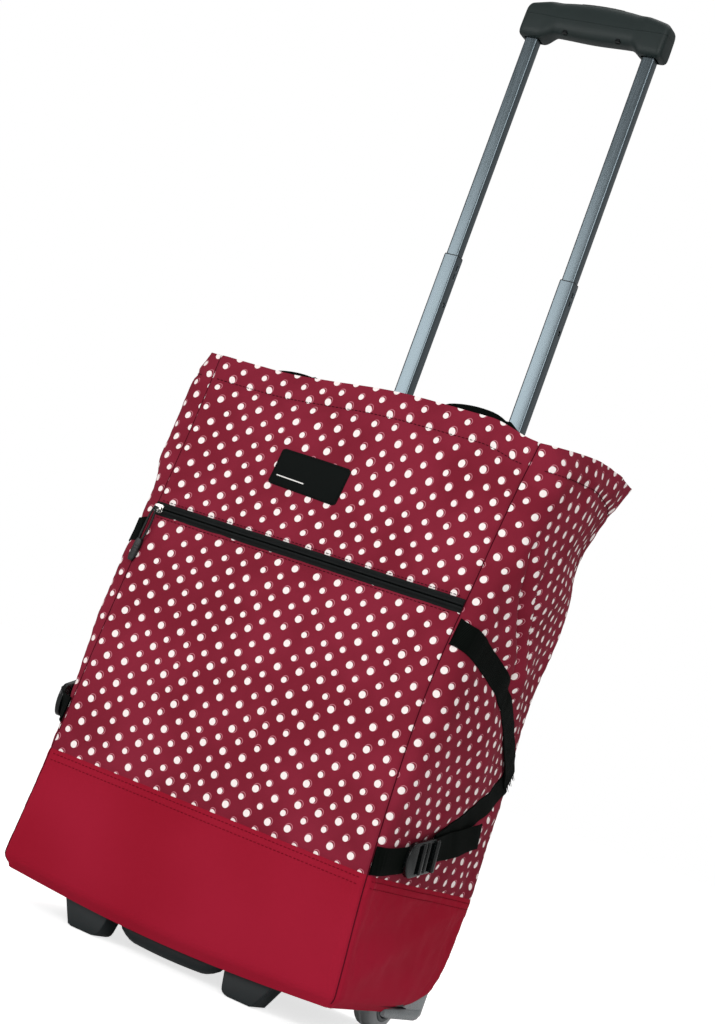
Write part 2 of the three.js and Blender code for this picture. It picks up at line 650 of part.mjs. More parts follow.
// The foot narrows to a flat sole with round lower corners.
function foot() {
  const top = PLATE_LOW - GAP;
  const { topHalf, bendX, bendZ, curveX, soleLeft, soleRight, rim } = FOOT_SHAPE;
  const shape = new THREE.Shape();
  shape.moveTo(-topHalf, top);
  shape.lineTo(bendX, bendZ);
  shape.quadraticCurveTo(curveX, 0, soleLeft, 0);
  shape.lineTo(soleRight, 0);
  shape.lineTo(topHalf, top);
  return alongY(shape, FOOT_FRONT, FOOT_FRONT + FOOT_DEEP, rim).translate(FOOT_X, 0, 0);
}

// A lifting bar hung under the plate, with a finger slot over it.
function bottomGrip() {
  const top = PLATE_LOW - GAP;
  const { half, low, side, bend, flat, slotHalf, slotLow, front, back, rim } = BAR;
  const shape = new THREE.Shape();
  shape.moveTo(-half, top);
  shape.lineTo(-half, side);
  shape.quadraticCurveTo(-bend, low, -flat, low);
  shape.lineTo(flat, low);
  shape.quadraticCurveTo(bend, low, half, side);
  shape.lineTo(half, top);
  shape.lineTo(slotHalf, top);
  shape.lineTo(slotHalf, slotLow);
  shape.lineTo(-slotHalf, slotLow);
  shape.lineTo(-slotHalf, top);
  return alongY(shape, FOOT_FRONT + front, FOOT_FRONT + back, rim);
}

function housingPlan(inset) {
  const { inner, outer, front, back } = HOUSING;
  const r = HOUSING_CORNER - inset;
  const shape = new THREE.Shape();
  shape.moveTo(inner, front + inset);
  shape.lineTo(outer - inset, front + inset);
  shape.lineTo(outer - inset, back - HOUSING_CORNER);
  shape.absarc(outer - HOUSING_CORNER, back - HOUSING_CORNER, r, 0, Math.PI / 2);
  shape.lineTo(inner, back - inset);
  return shape;
}

// A moulded corner with a well for the wheel, open below and behind, and a hollow outer corner.
function wheelHousing() {
  const { inner, outer, front, back, low, high, wall } = HOUSING;
  const well = block(inner + wall, WELL_END, front + wall, FAR, low - OVERCUT, high - wall);
  const hollow = common(
    alongZ(housingPlan(wall), low - OVERCUT, high - wall),
    block(WELL_END + wall, outer, front, back, low - OVERCUT, high),
  );
  const axleHole = rodAlongX(AXLE_R + GAP, inner - OVERCUT, WELL_END + wall + GAP, WHEEL_Y, WHEEL_R);
  return cut(alongZ(housingPlan(0), low, high), well, hollow, axleHole);
}

function ring(outerR, innerR, half, shoulder) {
  const profile = [
    [innerR, -half], [outerR - shoulder, -half], [outerR, -half + shoulder],
    [outerR, half - shoulder], [outerR - shoulder, half], [innerR, half], [innerR, -half],
  ].map(([r, along]) => new THREE.Vector2(r, along));
  const geometry = new THREE.LatheGeometry(profile, WHEEL_SIDES);
  return geometry.rotateZ(-Math.PI / 2).translate(WHEEL_X, WHEEL_Y, WHEEL_R);
}

function buildWheels() {
  const { inner, wall } = HOUSING;
  const { r, inset, stem, end } = AXLE_HEAD;
  const outside = WELL_END + wall;
  addPair('wheel_housing', 'housing', wheelHousing());
  addPair('axle', 'steel', join(
    rodAlongX(AXLE_R, inner + inset, outside + stem, WHEEL_Y, WHEEL_R),
    rodAlongX(r, outside + GAP, outside + end, WHEEL_Y, WHEEL_R),
  ));
  addPair('tyre', 'tyre', ring(WHEEL_R, HUB_R + GAP, WHEEL_WIDE / 2, TYRE_SHOULDER));
  addPair('wheel_hub', 'hub',
    ring(HUB_R, AXLE_R + HUB_PLAY, WHEEL_WIDE / 2 + HUB_PROUD, HUB_SHOULDER));
}

// ---- carry handles --------------------------------------------------------------------------------

// A loop of webbing that hangs inside the bag from two sewn ends.
function carryHandle(y) {
  const half = WEB / 2;
  const bottom = HANDLE_TOP - HANDLE_REACH;
  const outer = HANDLE_HALF + half;
  const inner = HANDLE_HALF - half;
  const r = HANDLE_CORNER;
  const shape = new THREE.Shape();
  shape.moveTo(-outer, HANDLE_TOP);
  shape.lineTo(-outer, bottom + r);
  shape.absarc(-outer + r, bottom + r, r, Math.PI, 1.5 * Math.PI);
  shape.lineTo(outer - r, bottom);
  shape.absarc(outer - r, bottom + r, r, 1.5 * Math.PI, 2 * Math.PI);
  shape.lineTo(outer, HANDLE_TOP);
  shape.lineTo(inner, HANDLE_TOP);
  shape.lineTo(inner, bottom + r);
  shape.absarc(outer - r, bottom + r, r - WEB, 0, -Math.PI / 2, true);
  shape.lineTo(-outer + r, bottom + WEB);
  shape.absarc(-outer + r, bottom + r, r - WEB, -Math.PI / 2, -Math.PI, true);
  shape.lineTo(-inner, HANDLE_TOP);
  return alongY(shape, y - HANDLE_HALF_THICK, y + HANDLE_HALF_THICK);
}

buildBag();
buildZipPull();
buildStraps();
buildTubes('left', -TUBE_X);
buildTubes('right', TUBE_X);
add('tube_collar', 'button', collar());
buildGrip();
add('base_plate', 'plate', buildBasePlate());
addPair('foot', 'foot', foot());
add('bottom_grip', 'foot', bottomGrip());
buildWheels();
add('carry_handle_front', 'webbing', carryHandle(HANDLE_FRONT_Y));
add('carry_handle_back', 'webbing', carryHandle(HANDLE_BACK_Y));

export default trolley;
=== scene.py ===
"""A shopping trolley: a dotted polyester bag on two wheels and two feet, with a telescopic handle.

Sizes are in millimetres and become metres only where a mesh is made. The front looks towards -Y.
"""
import math

import bmesh
import bpy
from mathutils import Matrix, Vector, noise


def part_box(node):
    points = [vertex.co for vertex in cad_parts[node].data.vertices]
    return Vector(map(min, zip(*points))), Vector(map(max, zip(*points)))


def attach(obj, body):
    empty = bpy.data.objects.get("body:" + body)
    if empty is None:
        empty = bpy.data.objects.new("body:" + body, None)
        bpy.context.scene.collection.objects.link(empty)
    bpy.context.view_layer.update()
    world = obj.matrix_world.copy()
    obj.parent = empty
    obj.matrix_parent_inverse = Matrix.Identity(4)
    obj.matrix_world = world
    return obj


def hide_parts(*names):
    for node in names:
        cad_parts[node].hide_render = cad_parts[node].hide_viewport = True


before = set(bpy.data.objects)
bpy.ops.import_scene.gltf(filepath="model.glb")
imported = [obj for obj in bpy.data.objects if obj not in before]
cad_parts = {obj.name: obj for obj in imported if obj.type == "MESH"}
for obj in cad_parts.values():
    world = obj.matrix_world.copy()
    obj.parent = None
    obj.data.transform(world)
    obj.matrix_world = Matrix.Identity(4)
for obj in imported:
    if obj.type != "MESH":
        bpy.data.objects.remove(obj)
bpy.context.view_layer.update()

MM = 0.001
SIDES = {"left": -1, "right": 1}


def node_box(name):
    """The lowest and highest corner of a fixed part, in millimetres."""
    low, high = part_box(name)
    return Vector(low) / MM, Vector(high) / MM


# ---- the bag's driving sizes ----------------------------------------------------------------

# Heights at which the bag is measured, then its half-widths, front and side swell at those heights.
FRONT_LEVELS = [34, 145, 300, 436, 500, 551]
HALF_WIDTH_FRONT = [186, 176, 169, 171, 173, 176]
FRONT_Y = [-118.5, -121.5, -120, -103, -94.5, -87.5]
BACK_LEVELS = [34, 90, 145, 200, 250, 300, 345, 400, 440, 480, 515, 551]
HALF_WIDTH_BACK = [177, 175, 176, 173, 171, 167, 166, 170, 169, 163, 172, 190]
SWELL_LEVELS = [34, 145, 190, 240, 300, 400, 450, 520, 551]
SIDE_SWELL = [2, 4, 8, 15, 21, 21, 28, 30, 17]
BACK_Y = 117.5
BACK_RISE = 15
RISE_FROM = 500
MOUTH = 551
DEPTH = 236

BAG_LOW = node_box("band_front")[0].z
BAND_TOP = node_box("band_front")[1].z
FRONT_TOP = node_box("front_panel")[1].z
ZIP_LOW = node_box("zip_tape")[0].z
ZIP_HIGH = node_box("zip_tape")[1].z
ZIP_Z = (ZIP_LOW + ZIP_HIGH) / 2

CLOTH = 1.2
SEAM_DIP = 2.0
HEM = 26
CELL = 3.2

# Side webbing, as distance back from the front corner and height.
WEB = 25
WEB_THICK = 1.5
UPPER_STRAP = [(-3, 367), (30, 359), (60, 351), (92, 342), (125, 329), (156, 313), (185, 294), (210, 276),
               (226, 262)]
LOWER_STRAP = {
    "left": [(226, 262), (206, 254), (180, 240), (150, 226), (120, 213), (92, 203), (68, 198)],
    "right": [(226, 262), (206, 250), (184, 236), (155, 221), (128, 205), (108, 193), (90, 184)],
}
ANCHOR_STRAP = {"left": [(-3, 182), (8, 184), (18, 187), (28, 190)],
                "right": [(-3, 158), (20, 161), (40, 165), (52, 168)]}
TAIL_STRAP = {"left": [(62, 195), (80, 199), (105, 205), (130, 212), (156, 220)],
              "right": [(86, 180), (100, 184), (125, 190), (150, 197), (176, 205)]}
BUCKLE_AT = {"left": (36, 193), "right": (66, 171)}
BUCKLE_LIFT = {"left": 12, "right": 0}
BUCKLE_YAW = {"left": -0.26, "right": 0}
BUCKLE_TILT = 0.24


# ---- materials ------------------------------------------------------------------------------

MIX_FACTOR = 0
MIX_A = 6
MIX_B = 7
MIX_COLOUR = 2


def linear(code):
    """Turns an sRGB hex colour into the linear values that a shader takes."""
    parts = [int(code[i:i + 2], 16) / 255 for i in (1, 3, 5)]
    return [c / 12.92 if c <= 0.04045 else ((c + 0.055) / 1.055) ** 2.4 for c in parts] + [1.0]


def node(tree, kind, settings=None, links=None):
    """Adds one shader node, sets its properties and sockets, and joins its sockets to others."""
    added = tree.nodes.new(kind)
    for name, value in (settings or {}).items():
        if isinstance(name, int) or name in added.inputs:
            added.inputs[name].default_value = value
        else:
            setattr(added, name, value)
    for name, source in (links or {}).items():
        tree.links.new(source, added.inputs[name])
    return added


def start_material(name, **sockets):
    """A new material with its shader's own sockets set. Returns it with its tree and shader."""
    made = bpy.data.materials.new(name)
    made.use_nodes = True
    tree = made.node_tree
    shader = tree.nodes["Principled BSDF"]
    for socket, value in sockets.items():
        shader.inputs[socket.replace("_", " ")].default_value = value
    return made, tree, shader


def mixed(tree, factor, first, second):
    """A colour between two others. Each may be a hex colour or another node's output."""
    mix = node(tree, "ShaderNodeMix", {"data_type": "RGBA"}, {MIX_FACTOR: factor})
    for socket, colour in ((MIX_A, first), (MIX_B, second)):
        if isinstance(colour, str):
            mix.inputs[socket].default_value = linear(colour)
        else:
            tree.links.new(colour, mix.inputs[socket])
    return mix.outputs[MIX_COLOUR]


def place(tree, source, scale):
    """Texture coordinates in pattern repeats. Scale is repeats per metre along each axis."""
    coordinates = node(tree, "ShaderNodeTexCoord")
    return node(tree, "ShaderNodeMapping", {"Scale": scale},
                {"Vector": coordinates.outputs[source]}).outputs["Vector"]


def per_mm(size):
    """Repeats per metre of a pattern that repeats every so many millimetres."""
    return 1 / (size * MM)


def cloudy(tree, source, size, detail=3.0):
    """Soft noise whose blotches are about so many millimetres across."""
    where = place(tree, source, (per_mm(size),) * 3)
    noise = node(tree, "ShaderNodeTexNoise", {"Scale": 1.0, "Detail": detail}, {"Vector": where})
    return noise.outputs["Fac"]


def ramped(tree, value, low, high, to_low=0.0, to_high=1.0):
    """Stretches a value smoothly from one range to another."""
    return node(tree, "ShaderNodeMapRange",
                {"interpolation_type": "SMOOTHSTEP", "From Min": low, "From Max": high,
                 "To Min": to_low, "To Max": to_high}, {"Value": value}).outputs["Result"]


def weave_height(tree, thread):
    """Crossed threads, so many millimetres apart, as a height for a bump."""
    where = place(tree, "UV", (per_mm(thread),) * 3)
    bands = [node(tree, "ShaderNodeTexWave", {"bands_direction": way, "Scale": 0.5, "Distortion": 0.4},
                  {"Vector": where}).outputs["Fac"] for way in ("X", "Y")]
    return node(tree, "ShaderNodeMath", {"operation": "MULTIPLY"}, {0: bands[0], 1: bands[1]}).outputs[0]


def bumped(tree, shader, height, depth, strength=1.0):
    """Gives a shader a bump so many millimetres deep."""
    bump = node(tree, "ShaderNodeBump", {"Distance": depth * MM, "Strength": strength}, {"Height": height})
    tree.links.new(bump.outputs["Normal"], shader.inputs["Normal"])


DOT_PITCH = 22.0
BIG_DOT = 3.3
SMALL_DOT = 2.7


def dot_distance(tree, shift, wander):
    """Distance in millimetres to the middle of the nearest printed dot of one size."""
    where = node(tree, "ShaderNodeTexCoord").outputs["UV"]
    placed = node(tree, "ShaderNodeMapping",
                  {"Scale": (per_mm(DOT_PITCH),) * 3, "Location": (shift, shift, 0)}, {"Vector": where})
    cell = node(tree, "ShaderNodeTexVoronoi",
                {"voronoi_dimensions": "2D", "feature": "F1", "Scale": 1.0, "Randomness": wander},
                {"Vector": placed.outputs["Vector"]})
    return node(tree, "ShaderNodeMath", {"operation": "MULTIPLY", 1: DOT_PITCH},
                {0: cell.outputs["Distance"]}).outputs[0]


def printed_polyester():
    """Woven polyester, screen printed: a burgundy ground with off-white dots of two sizes, each with
    a thin pink outline printed a little off its place. The weave gives a soft sheen."""
    made, tree, shader = start_material("printed_polyester", Roughness=0.7, Sheen_Weight=0.03,
                                        Sheen_Roughness=0.5, Specular_IOR_Level=0.03,
                                        Sheen_Tint=linear("#d8a0aa"))
    shade = ramped(tree, cloudy(tree, "Object", 70), 0.35, 0.65)
    colour = mixed(tree, shade, "#781f2f", "#842537")
    for shift, radius in ((0.0, BIG_DOT), (0.5, SMALL_DOT)):
        outline = dot_distance(tree, shift - 0.02, 0.17)
        offset = node(tree, "ShaderNodeMath", {"operation": "SUBTRACT", 1: radius + 0.15}, {0: outline})
        width = node(tree, "ShaderNodeMath", {"operation": "ABSOLUTE"}, {0: offset.outputs[0]})
        ring = ramped(tree, width.outputs[0], 0.22, 0.5, 0.6, 0.0)
        colour = mixed(tree, ring, colour, "#d98f9b")
        disc = ramped(tree, dot_distance(tree, shift, 0.12), radius - 0.15, radius + 0.15, 1.0, 0.0)
        colour = mixed(tree, disc, colour, "#f6ebe8")
    tree.links.new(colour, shader.inputs["Base Color"])
    bumped(tree, shader, weave_height(tree, 0.7), 0.05, 0.35)
    return made


def plain_polyester(name, dark, light, sheen, thread=0.7):
    """Plain dyed polyester: one colour with the faint shade changes of a large panel."""
    made, tree, shader = start_material(name, Roughness=0.65, Sheen_Weight=sheen, Sheen_Roughness=0.5,
                                        Specular_IOR_Level=0.03, Sheen_Tint=linear(light))
    shade = ramped(tree, cloudy(tree, "Object", 140, 1.0), 0.3, 0.7)
    fleck = ramped(tree, cloudy(tree, "Object", 2.0), 0.3, 0.8, 0.0, 0.15)
    both = node(tree, "ShaderNodeMath", {"operation": "ADD", "use_clamp": True}, {0: shade, 1: fleck})
    tree.links.new(mixed(tree, both.outputs[0], dark, light), shader.inputs["Base Color"])
    bumped(tree, shader, weave_height(tree, thread), 0.05, 0.35)
    return made


def ribbed_webbing():
    """Woven polypropylene webbing: near black, with cross ribs and a smooth woven edge."""
    made, tree, shader = start_material("ribbed_webbing", Roughness=0.7, Specular_IOR_Level=0.04)
    ribs = node(tree, "ShaderNodeTexWave", {"bands_direction": "X", "Scale": 0.5, "Distortion": 0.2},
                {"Vector": place(tree, "UV", (per_mm(1.3), per_mm(1.3), 1.0))}).outputs["Fac"]
    tree.links.new(mixed(tree, ramped(tree, ribs, 0.0, 1.0), "#040705", "#0c110e"),
                   shader.inputs["Base Color"])
    bumped(tree, shader, ribs, 0.35, 0.9)
    return made


def zip_tape_cloth():
    """The woven nylon tape of a zip, drawn tight over its coil, so that it shines a little."""
    made, tree, shader = start_material("zip_tape_cloth", Roughness=0.5, Specular_IOR_Level=0.12)
    ribs = node(tree, "ShaderNodeTexWave", {"bands_direction": "X", "Scale": 0.5, "Distortion": 0.3},
                {"Vector": place(tree, "UV", (per_mm(1.1), per_mm(1.1), 1.0))}).outputs["Fac"]
    tree.links.new(mixed(tree, cloudy(tree, "Object", 9), "#070909", "#101414"), shader.inputs["Base Color"])
    bumped(tree, shader, ribs, 0.12, 0.6)
    return made


def moulded(name, dark, light, roughness, grain, depth=0.05, coat=0.0):
    """Injection-moulded plastic: even colour with faint flow shades, and a spark-eroded grain."""
    made, tree, shader = start_material(name, Coat_Weight=coat, Coat_Roughness=0.25, IOR=1.5,
                                        Specular_IOR_Level=0.35)
    tree.links.new(mixed(tree, cloudy(tree, "Object", 25), dark, light), shader.inputs["Base Color"])
    fine = cloudy(tree, "Object", grain, 4.0)
    tree.links.new(ramped(tree, fine, 0.2, 0.8, roughness - 0.07, roughness + 0.07),
                   shader.inputs["Roughness"])
    bumped(tree, shader, fine, depth, 0.6)
    return made


def painted_metal(name, dark, light, roughness, streak):
    """Drawn metal: fine streaks run along the piece, so that its highlights are soft and long."""
    made, tree, shader = start_material(name, Metallic=1.0)
    where = place(tree, "Object", (per_mm(streak), per_mm(streak), per_mm(streak * 60)))
    lines = node(tree, "ShaderNodeTexNoise", {"Scale": 1.0, "Detail": 3.0}, {"Vector": where}).outputs["Fac"]
    tree.links.new(mixed(tree, ramped(tree, lines, 0.3, 0.7), dark, light), shader.inputs["Base Color"])
    tree.links.new(ramped(tree, lines, 0.2, 0.8, roughness - 0.05, roughness + 0.05),
                   shader.inputs["Roughness"])
    bumped(tree, shader, lines, 0.02, 0.4)
    return made


def pressed_board():
    """Grey board: fibres pressed flat, matt and slightly mottled."""
    made, tree, shader = start_material("pressed_board", Roughness=0.9)
    tree.links.new(mixed(tree, cloudy(tree, "Object", 3, 6.0), "#3d3c3b", "#565453"),
                   shader.inputs["Base Color"])
    bumped(tree, shader, cloudy(tree, "Object", 1.2, 6.0), 0.15, 0.6)
    return made


def studio_paper():
    """Matt white studio paper for the floor, lit from behind so that it runs into the white wall."""
    made, tree, shader = start_material("studio_paper", Roughness=0.9, Specular_IOR_Level=0.1)
    white = mixed(tree, cloudy(tree, "Object", 400), "#f4f4f4", "#f8f8f8")
    tree.links.new(white, shader.inputs["Base Color"])
    ray = node(tree, "ShaderNodeLightPath")
    glow = node(tree, "ShaderNodeEmission", {"Strength": 0.72})
    shown = node(tree, "ShaderNodeMixShader", None, {0: ray.outputs["Is Camera Ray"], 2: glow.outputs[0]})
    both = node(tree, "ShaderNodeAddShader", None, {0: shader.outputs[0], 1: shown.outputs[0]})
    tree.links.new(both.outputs[0], tree.nodes["Material Output"].inputs["Surface"])
    return made


PRINTED = printed_polyester()
BAND = plain_polyester("crimson_polyester", "#911529", "#9a1b31", 0.5)
LINING = plain_polyester("black_lining", "#131315", "#1c1c1f", 0.04, 0.5)
WEBBING = ribbed_webbing()
ZIP_CLOTH = zip_tape_cloth()
LABEL = plain_polyester("black_label_weave", "#0c0f0e", "#131615", 0.03, 0.4)
LABEL_LINE = plain_polyester("white_label_thread", "#dcdad6", "#eeece8", 0.1, 0.4)
THREAD = plain_polyester("dark_red_thread", "#2c060e", "#3d0a14", 0.05, 0.3)
BAND_THREAD = plain_polyester("crimson_thread", "#6a0819", "#760b1e", 0.03, 0.3)
# The seam cords' dark red is painted shade: it stands for the shadow in the groove where the cloths turn in.
SEAM_GROOVE_SHADE = plain_polyester("seam_groove_painted_shade", "#420a16", "#520d1c", 0.03, 0.3)
GRIP_PLASTIC = moulded("grip_abs", "#0f1b1a", "#142221", 0.5, 0.5)
BUTTON_PLASTIC = moulded("button_abs", "#0b1111", "#101716", 0.45, 0.5)
BUCKLE_PLASTIC = moulded("buckle_acetal", "#060909", "#0a0e0e", 0.24, 1.5, 0.02)
FOOT_PLASTIC = moulded("foot_polypropylene", "#181f20", "#1f2628", 0.42, 0.6)
# The base plate's near black is painted shade: it stands for the shadow in the strip under the band's hem.
PLATE_PAINTED_SHADE = moulded("plate_polypropylene_painted_shade", "#14191a", "#1b2122", 0.5, 0.6)
HOUSING_PLASTIC = moulded("housing_polypropylene", "#6f7577", "#7c8284", 0.3, 0.8, 0.03, 0.2)
TYRE_RUBBER = moulded("grey_tyre_rubber", "#bcc0c1", "#c8cbcc", 0.75, 0.8)
HUB_PLASTIC = moulded("hub_nylon", "#5a6062", "#666c6e", 0.45, 0.6)
CORD_RUBBER = moulded("puller_rubber", "#0c0f0f", "#151919", 0.4, 0.8)
TUBE_METAL = painted_metal("anodised_aluminium", "#5a6468", "#656f75", 0.26, 0.6)
NICKEL = painted_metal("nickel_plate", "#a9a8a4", "#bdbcb8", 0.22, 0.8)
ZINC_STEEL = painted_metal("zinc_plated_steel", "#8f9396", "#a4a8ab", 0.38, 0.8)
BLACK_STEEL = painted_metal("blackened_steel", "#1b1d1e", "#242728", 0.45, 0.8)
BOARD = pressed_board()


# ---- making pieces --------------------------------------------------------------------------

def piece_from(name, points, faces, materials, body="chassis", stands_for=(), uvs=None,
               marks=None, sharp=40):
    """Makes one piece from points in millimetres, gives it its finish and fixes it to a body."""
    mesh = bpy.data.meshes.new(name)
    mesh.from_pydata([Vector(p) * MM for p in points], [], faces)
    made = bpy.data.objects.new(name, mesh)
    bpy.context.scene.collection.objects.link(made)
    for material in materials:
        mesh.materials.append(material)
    if marks:
        mesh.polygons.foreach_set("material_index", marks)
    if uvs:
        layer = mesh.uv_layers.new(name="cloth")
        for loop in mesh.loops:
            layer.data[loop.index].uv = [c * MM for c in uvs[loop.vertex_index]]
    smooth(mesh, sharp)
    settle(made, body, stands_for)
    return made


def settle(made, body, stands_for):
    """Fixes a piece to its body and hides the plain solids that it stands for."""
    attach(made, body)
    if stands_for:
        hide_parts(*stands_for)


def smooth(mesh, sharp):
    for face in mesh.polygons:
        face.use_smooth = True
    mesh.set_sharp_from_angle(angle=math.radians(sharp))
    mesh.update()


def piece_from_bmesh(name, shape, materials, body="chassis", stands_for=(), sharp=40):
    """Makes one piece from a bmesh in millimetres, with its faces turned out."""
    bmesh.ops.recalc_face_normals(shape, faces=shape.faces)
    bmesh.ops.scale(shape, vec=(MM, MM, MM), verts=shape.verts)
    mesh = bpy.data.meshes.new(name)
    shape.to_mesh(mesh)
    shape.free()
    for material in materials:
        mesh.materials.append(material)
    made = bpy.data.objects.new(name, mesh)
    bpy.context.scene.collection.objects.link(made)
    smooth(mesh, sharp)
    settle(made, body, stands_for)
    return made


def through(levels, values):
    """A smooth curve through values at given levels."""
    def slope(i):
        low, high = max(i - 1, 0), min(i + 1, len(levels) - 1)
        return (values[high] - values[low]) / (levels[high] - levels[low])

    def at(z):
        i = 0
        while i < len(levels) - 2 and z > levels[i + 1]:
            i += 1
        span = levels[i + 1] - levels[i]
        t = (z - levels[i]) / span
        stay = (1 + 2 * t) * (1 - t) ** 2 * values[i] + t * t * (3 - 2 * t) * values[i + 1]
        turn = t * (1 - t) ** 2 * slope(i) - t * t * (1 - t) * slope(i + 1)
        return stay + span * turn
    return at


def grid(rows, columns, point):
    """Points and faces of a net of rows and columns."""
    points = [point(r, c) for r in range(rows) for c in range(columns)]
    faces = [(r * columns + c, r * columns + c + 1, (r + 1) * columns + c + 1, (r + 1) * columns + c)
             for r in range(rows - 1) for c in range(columns - 1)]
    return points, faces


def swept(stations, section, closed=False):
    """Points and faces of a section carried along stations of (centre, across, out)."""
    size = len(section)
    points = [centre + across * s + out * t for centre, across, out in stations for s, t in section]
    count = len(stations)
    faces = []
    for i in range(count if closed else count - 1):
        j = (i + 1) % count
        for k in range(size):
            m = (k + 1) % size
            faces.append((i * size + k, i * size + m, j * size + m, j * size + k))
    if not closed:
        faces.append(tuple(range(size))[::-1])
        faces.append(tuple((count - 1) * size + k for k in range(size)))
    return points, faces


def ellipse(wide, deep, steps=12):
    """A round or oval section, of full width and depth."""
    turns = [2 * math.pi * k / steps for k in range(steps)]
    return [(wide / 2 * math.cos(a), deep / 2 * math.sin(a)) for a in turns]


def flat_section(wide, thick, round_off=0.5):
    """The section of a webbing or tape: flat, with rounded edges."""
    s, t, r = wide / 2, thick / 2, round_off
    return [(-s + r, -t), (s - r, -t), (s, -t + r), (s, t - r), (s - r, t), (-s + r, t), (-s, t - r),
            (-s, -t + r)]


def rounded_rectangle(wide, deep, radius, steps=5):
    """Corner points of a rectangle with round corners, anticlockwise from its right side."""
    points = []
    for corner, (cx, cy) in enumerate(((1, 1), (-1, 1), (-1, -1), (1, -1))):
        for k in range(steps + 1):
            a = math.pi / 2 * (corner + k / steps)
            points.append((cx * (wide / 2 - radius) + radius * math.cos(a),
                           cy * (deep / 2 - radius) + radius * math.sin(a)))
    return points


def block(low, high, bevel=0.0, steps=2):
    """A bmesh box between two corners, with rounded edges."""
    shape = bmesh.new()
    bmesh.ops.create_cube(shape, size=1)
    size = [b - a for a, b in zip(low, high)]
    middle = [(a + b) / 2 for a, b in zip(low, high)]
    bmesh.ops.scale(shape, vec=size, verts=shape.verts)
    bmesh.ops.translate(shape, vec=middle, verts=shape.verts)
    if bevel:
        bmesh.ops.bevel(shape, geom=shape.edges[:], offset=bevel, segments=steps, affect="EDGES", profile=0.5)
    return shape


def vertices_in(pushed):
    """The vertices among all that an extrusion made."""
    return [v for v in pushed if isinstance(v, bmesh.types.BMVert)]


def pressed(outline, y0, y1, bevel=0.0, steps=3):
    """An outline in X and Z pushed out along Y, with rounded rims."""
    shape = bmesh.new()
    bottom = shape.faces.new([shape.verts.new((x, y0, z)) for x, z in outline])
    pushed = bmesh.ops.extrude_face_region(shape, geom=[bottom])["geom"]
    bmesh.ops.translate(shape, vec=(0, y1 - y0, 0), verts=vertices_in(pushed))
    bmesh.ops.recalc_face_normals(shape, faces=shape.faces)
    if bevel:
        rims = [e for e in shape.edges if e.verts[0].co.y == e.verts[1].co.y]
        bmesh.ops.bevel(shape, geom=rims, offset=bevel, segments=steps, affect="EDGES", profile=0.5)
    return shape


def turned(profile, centre, steps=48, axis="X"):
    """A profile of (along, radius) turned about an axis through a centre."""
    shape = bmesh.new()
    rings = []
    for k in range(steps):
        a = 2 * math.pi * k / steps
        ring = []
        for along, radius in profile:
            flat = (along, radius * math.cos(a), radius * math.sin(a))
            spot = flat if axis == "X" else (flat[1], flat[2], flat[0])
            ring.append(shape.verts.new(Vector(centre) + Vector(spot)))
        rings.append(ring)
    for k in range(steps):
        first, second = rings[k], rings[(k + 1) % steps]
        for i in range(len(profile)):
            j = (i + 1) % len(profile)
            shape.faces.new((first[i], first[j], second[j], second[i]))
    bmesh.ops.remove_doubles(shape, verts=shape.verts, dist=0.01)
    return shape


def joined(*shapes):
    """Puts several bmeshes in one."""
    first = shapes[0]
    for other in shapes[1:]:
        passing = bpy.data.meshes.new("passing")
        other.to_mesh(passing)
        other.free()
        first.from_mesh(passing)
        bpy.data.meshes.remove(passing)
    return first


def carve(made, *shapes):
    """Cuts bmesh shapes, in millimetres, out of a piece."""
    for shape in shapes:
        bmesh.ops.recalc_face_normals(shape, faces=shape.faces)
        bmesh.ops.scale(shape, vec=(MM, MM, MM), verts=shape.verts)
        tool_mesh = bpy.data.meshes.new("cutter")
        shape.to_mesh(tool_mesh)
        shape.free()
        tool = bpy.data.objects.new("cutter", tool_mesh)
        bpy.context.scene.collection.objects.link(tool)
        step = made.modifiers.new("cut", "BOOLEAN")
        step.operation = "DIFFERENCE"
        step.solver = "EXACT"
        step.object = tool
        worked = made.evaluated_get(bpy.context.evaluated_depsgraph_get())
        old = made.data
        made.data = bpy.data.meshes.new_from_object(worked)
        made.modifiers.clear()
        made.data.name = old.name
        bpy.data.meshes.remove(old)
        bpy.data.objects.remove(tool)
        bpy.data.meshes.remove(tool_mesh)
    smooth(made.data, 30)


# ---- the bag's shape ------------------------------------------------------------------------

half_front = through(FRONT_LEVELS, HALF_WIDTH_FRONT)
half_back = through(BACK_LEVELS, HALF_WIDTH_BACK)
front_y = through(FRONT_LEVELS, FRONT_Y)
side_swell = through(SWELL_LEVELS, SIDE_SWELL)


def hump(value, middle, width):
    """A soft bump of height 1 about a middle."""
    return math.exp(-((value - middle) / width) ** 2)


def edge_step(value, low, high):
    """Goes smoothly from 0 at low to 1 at high."""
    t = min(max((value - low) / (high - low), 0), 1)
    return t * t * (3 - 2 * t)


def distance_to(route, y, z):
    """Distance from a point on a side to a route of straight runs."""
    best = math.inf
    for (y0, z0), (y1, z1) in zip(route, route[1:]):
        run = (y1 - y0) ** 2 + (z1 - z0) ** 2
        t = min(max(((y - y0) * (y1 - y0) + (z - z0) * (z1 - z0)) / run, 0), 1)
        best = min(best, math.hypot(y - y0 - t * (y1 - y0), z - z0 - t * (z1 - z0)))
    return best


def wrinkle(x, y, z, size, seed):
    """Soft irregular waves, from -1 to 1."""
    return noise.fractal(Vector((x / size + seed, y / size, z / size)), 1.0, 2.0, 3)


def bare_wall(wall, a, z):
    """A point of the smooth bag. a runs from 0 to 1 across a wall, from its left as seen from
    outside; walls are front, right, back and left."""
    front, back_half, front_half = front_y(z), half_back(z), half_front(z)
    if wall == "front":
        return Vector(((2 * a - 1) * front_half, front, z))
    if wall == "back":
        return Vector(((1 - 2 * a) * back_half, BACK_Y, z + top_rise(1, z)))
    share = a if wall == "right" else 1 - a
    half = front_half + share * (back_half - front_half) + side_swell(z) * pillow(share * DEPTH)
    side = 1 if wall == "right" else -1
    return Vector((side * half, front + share * (BACK_Y - front), z + top_rise(share, z)))


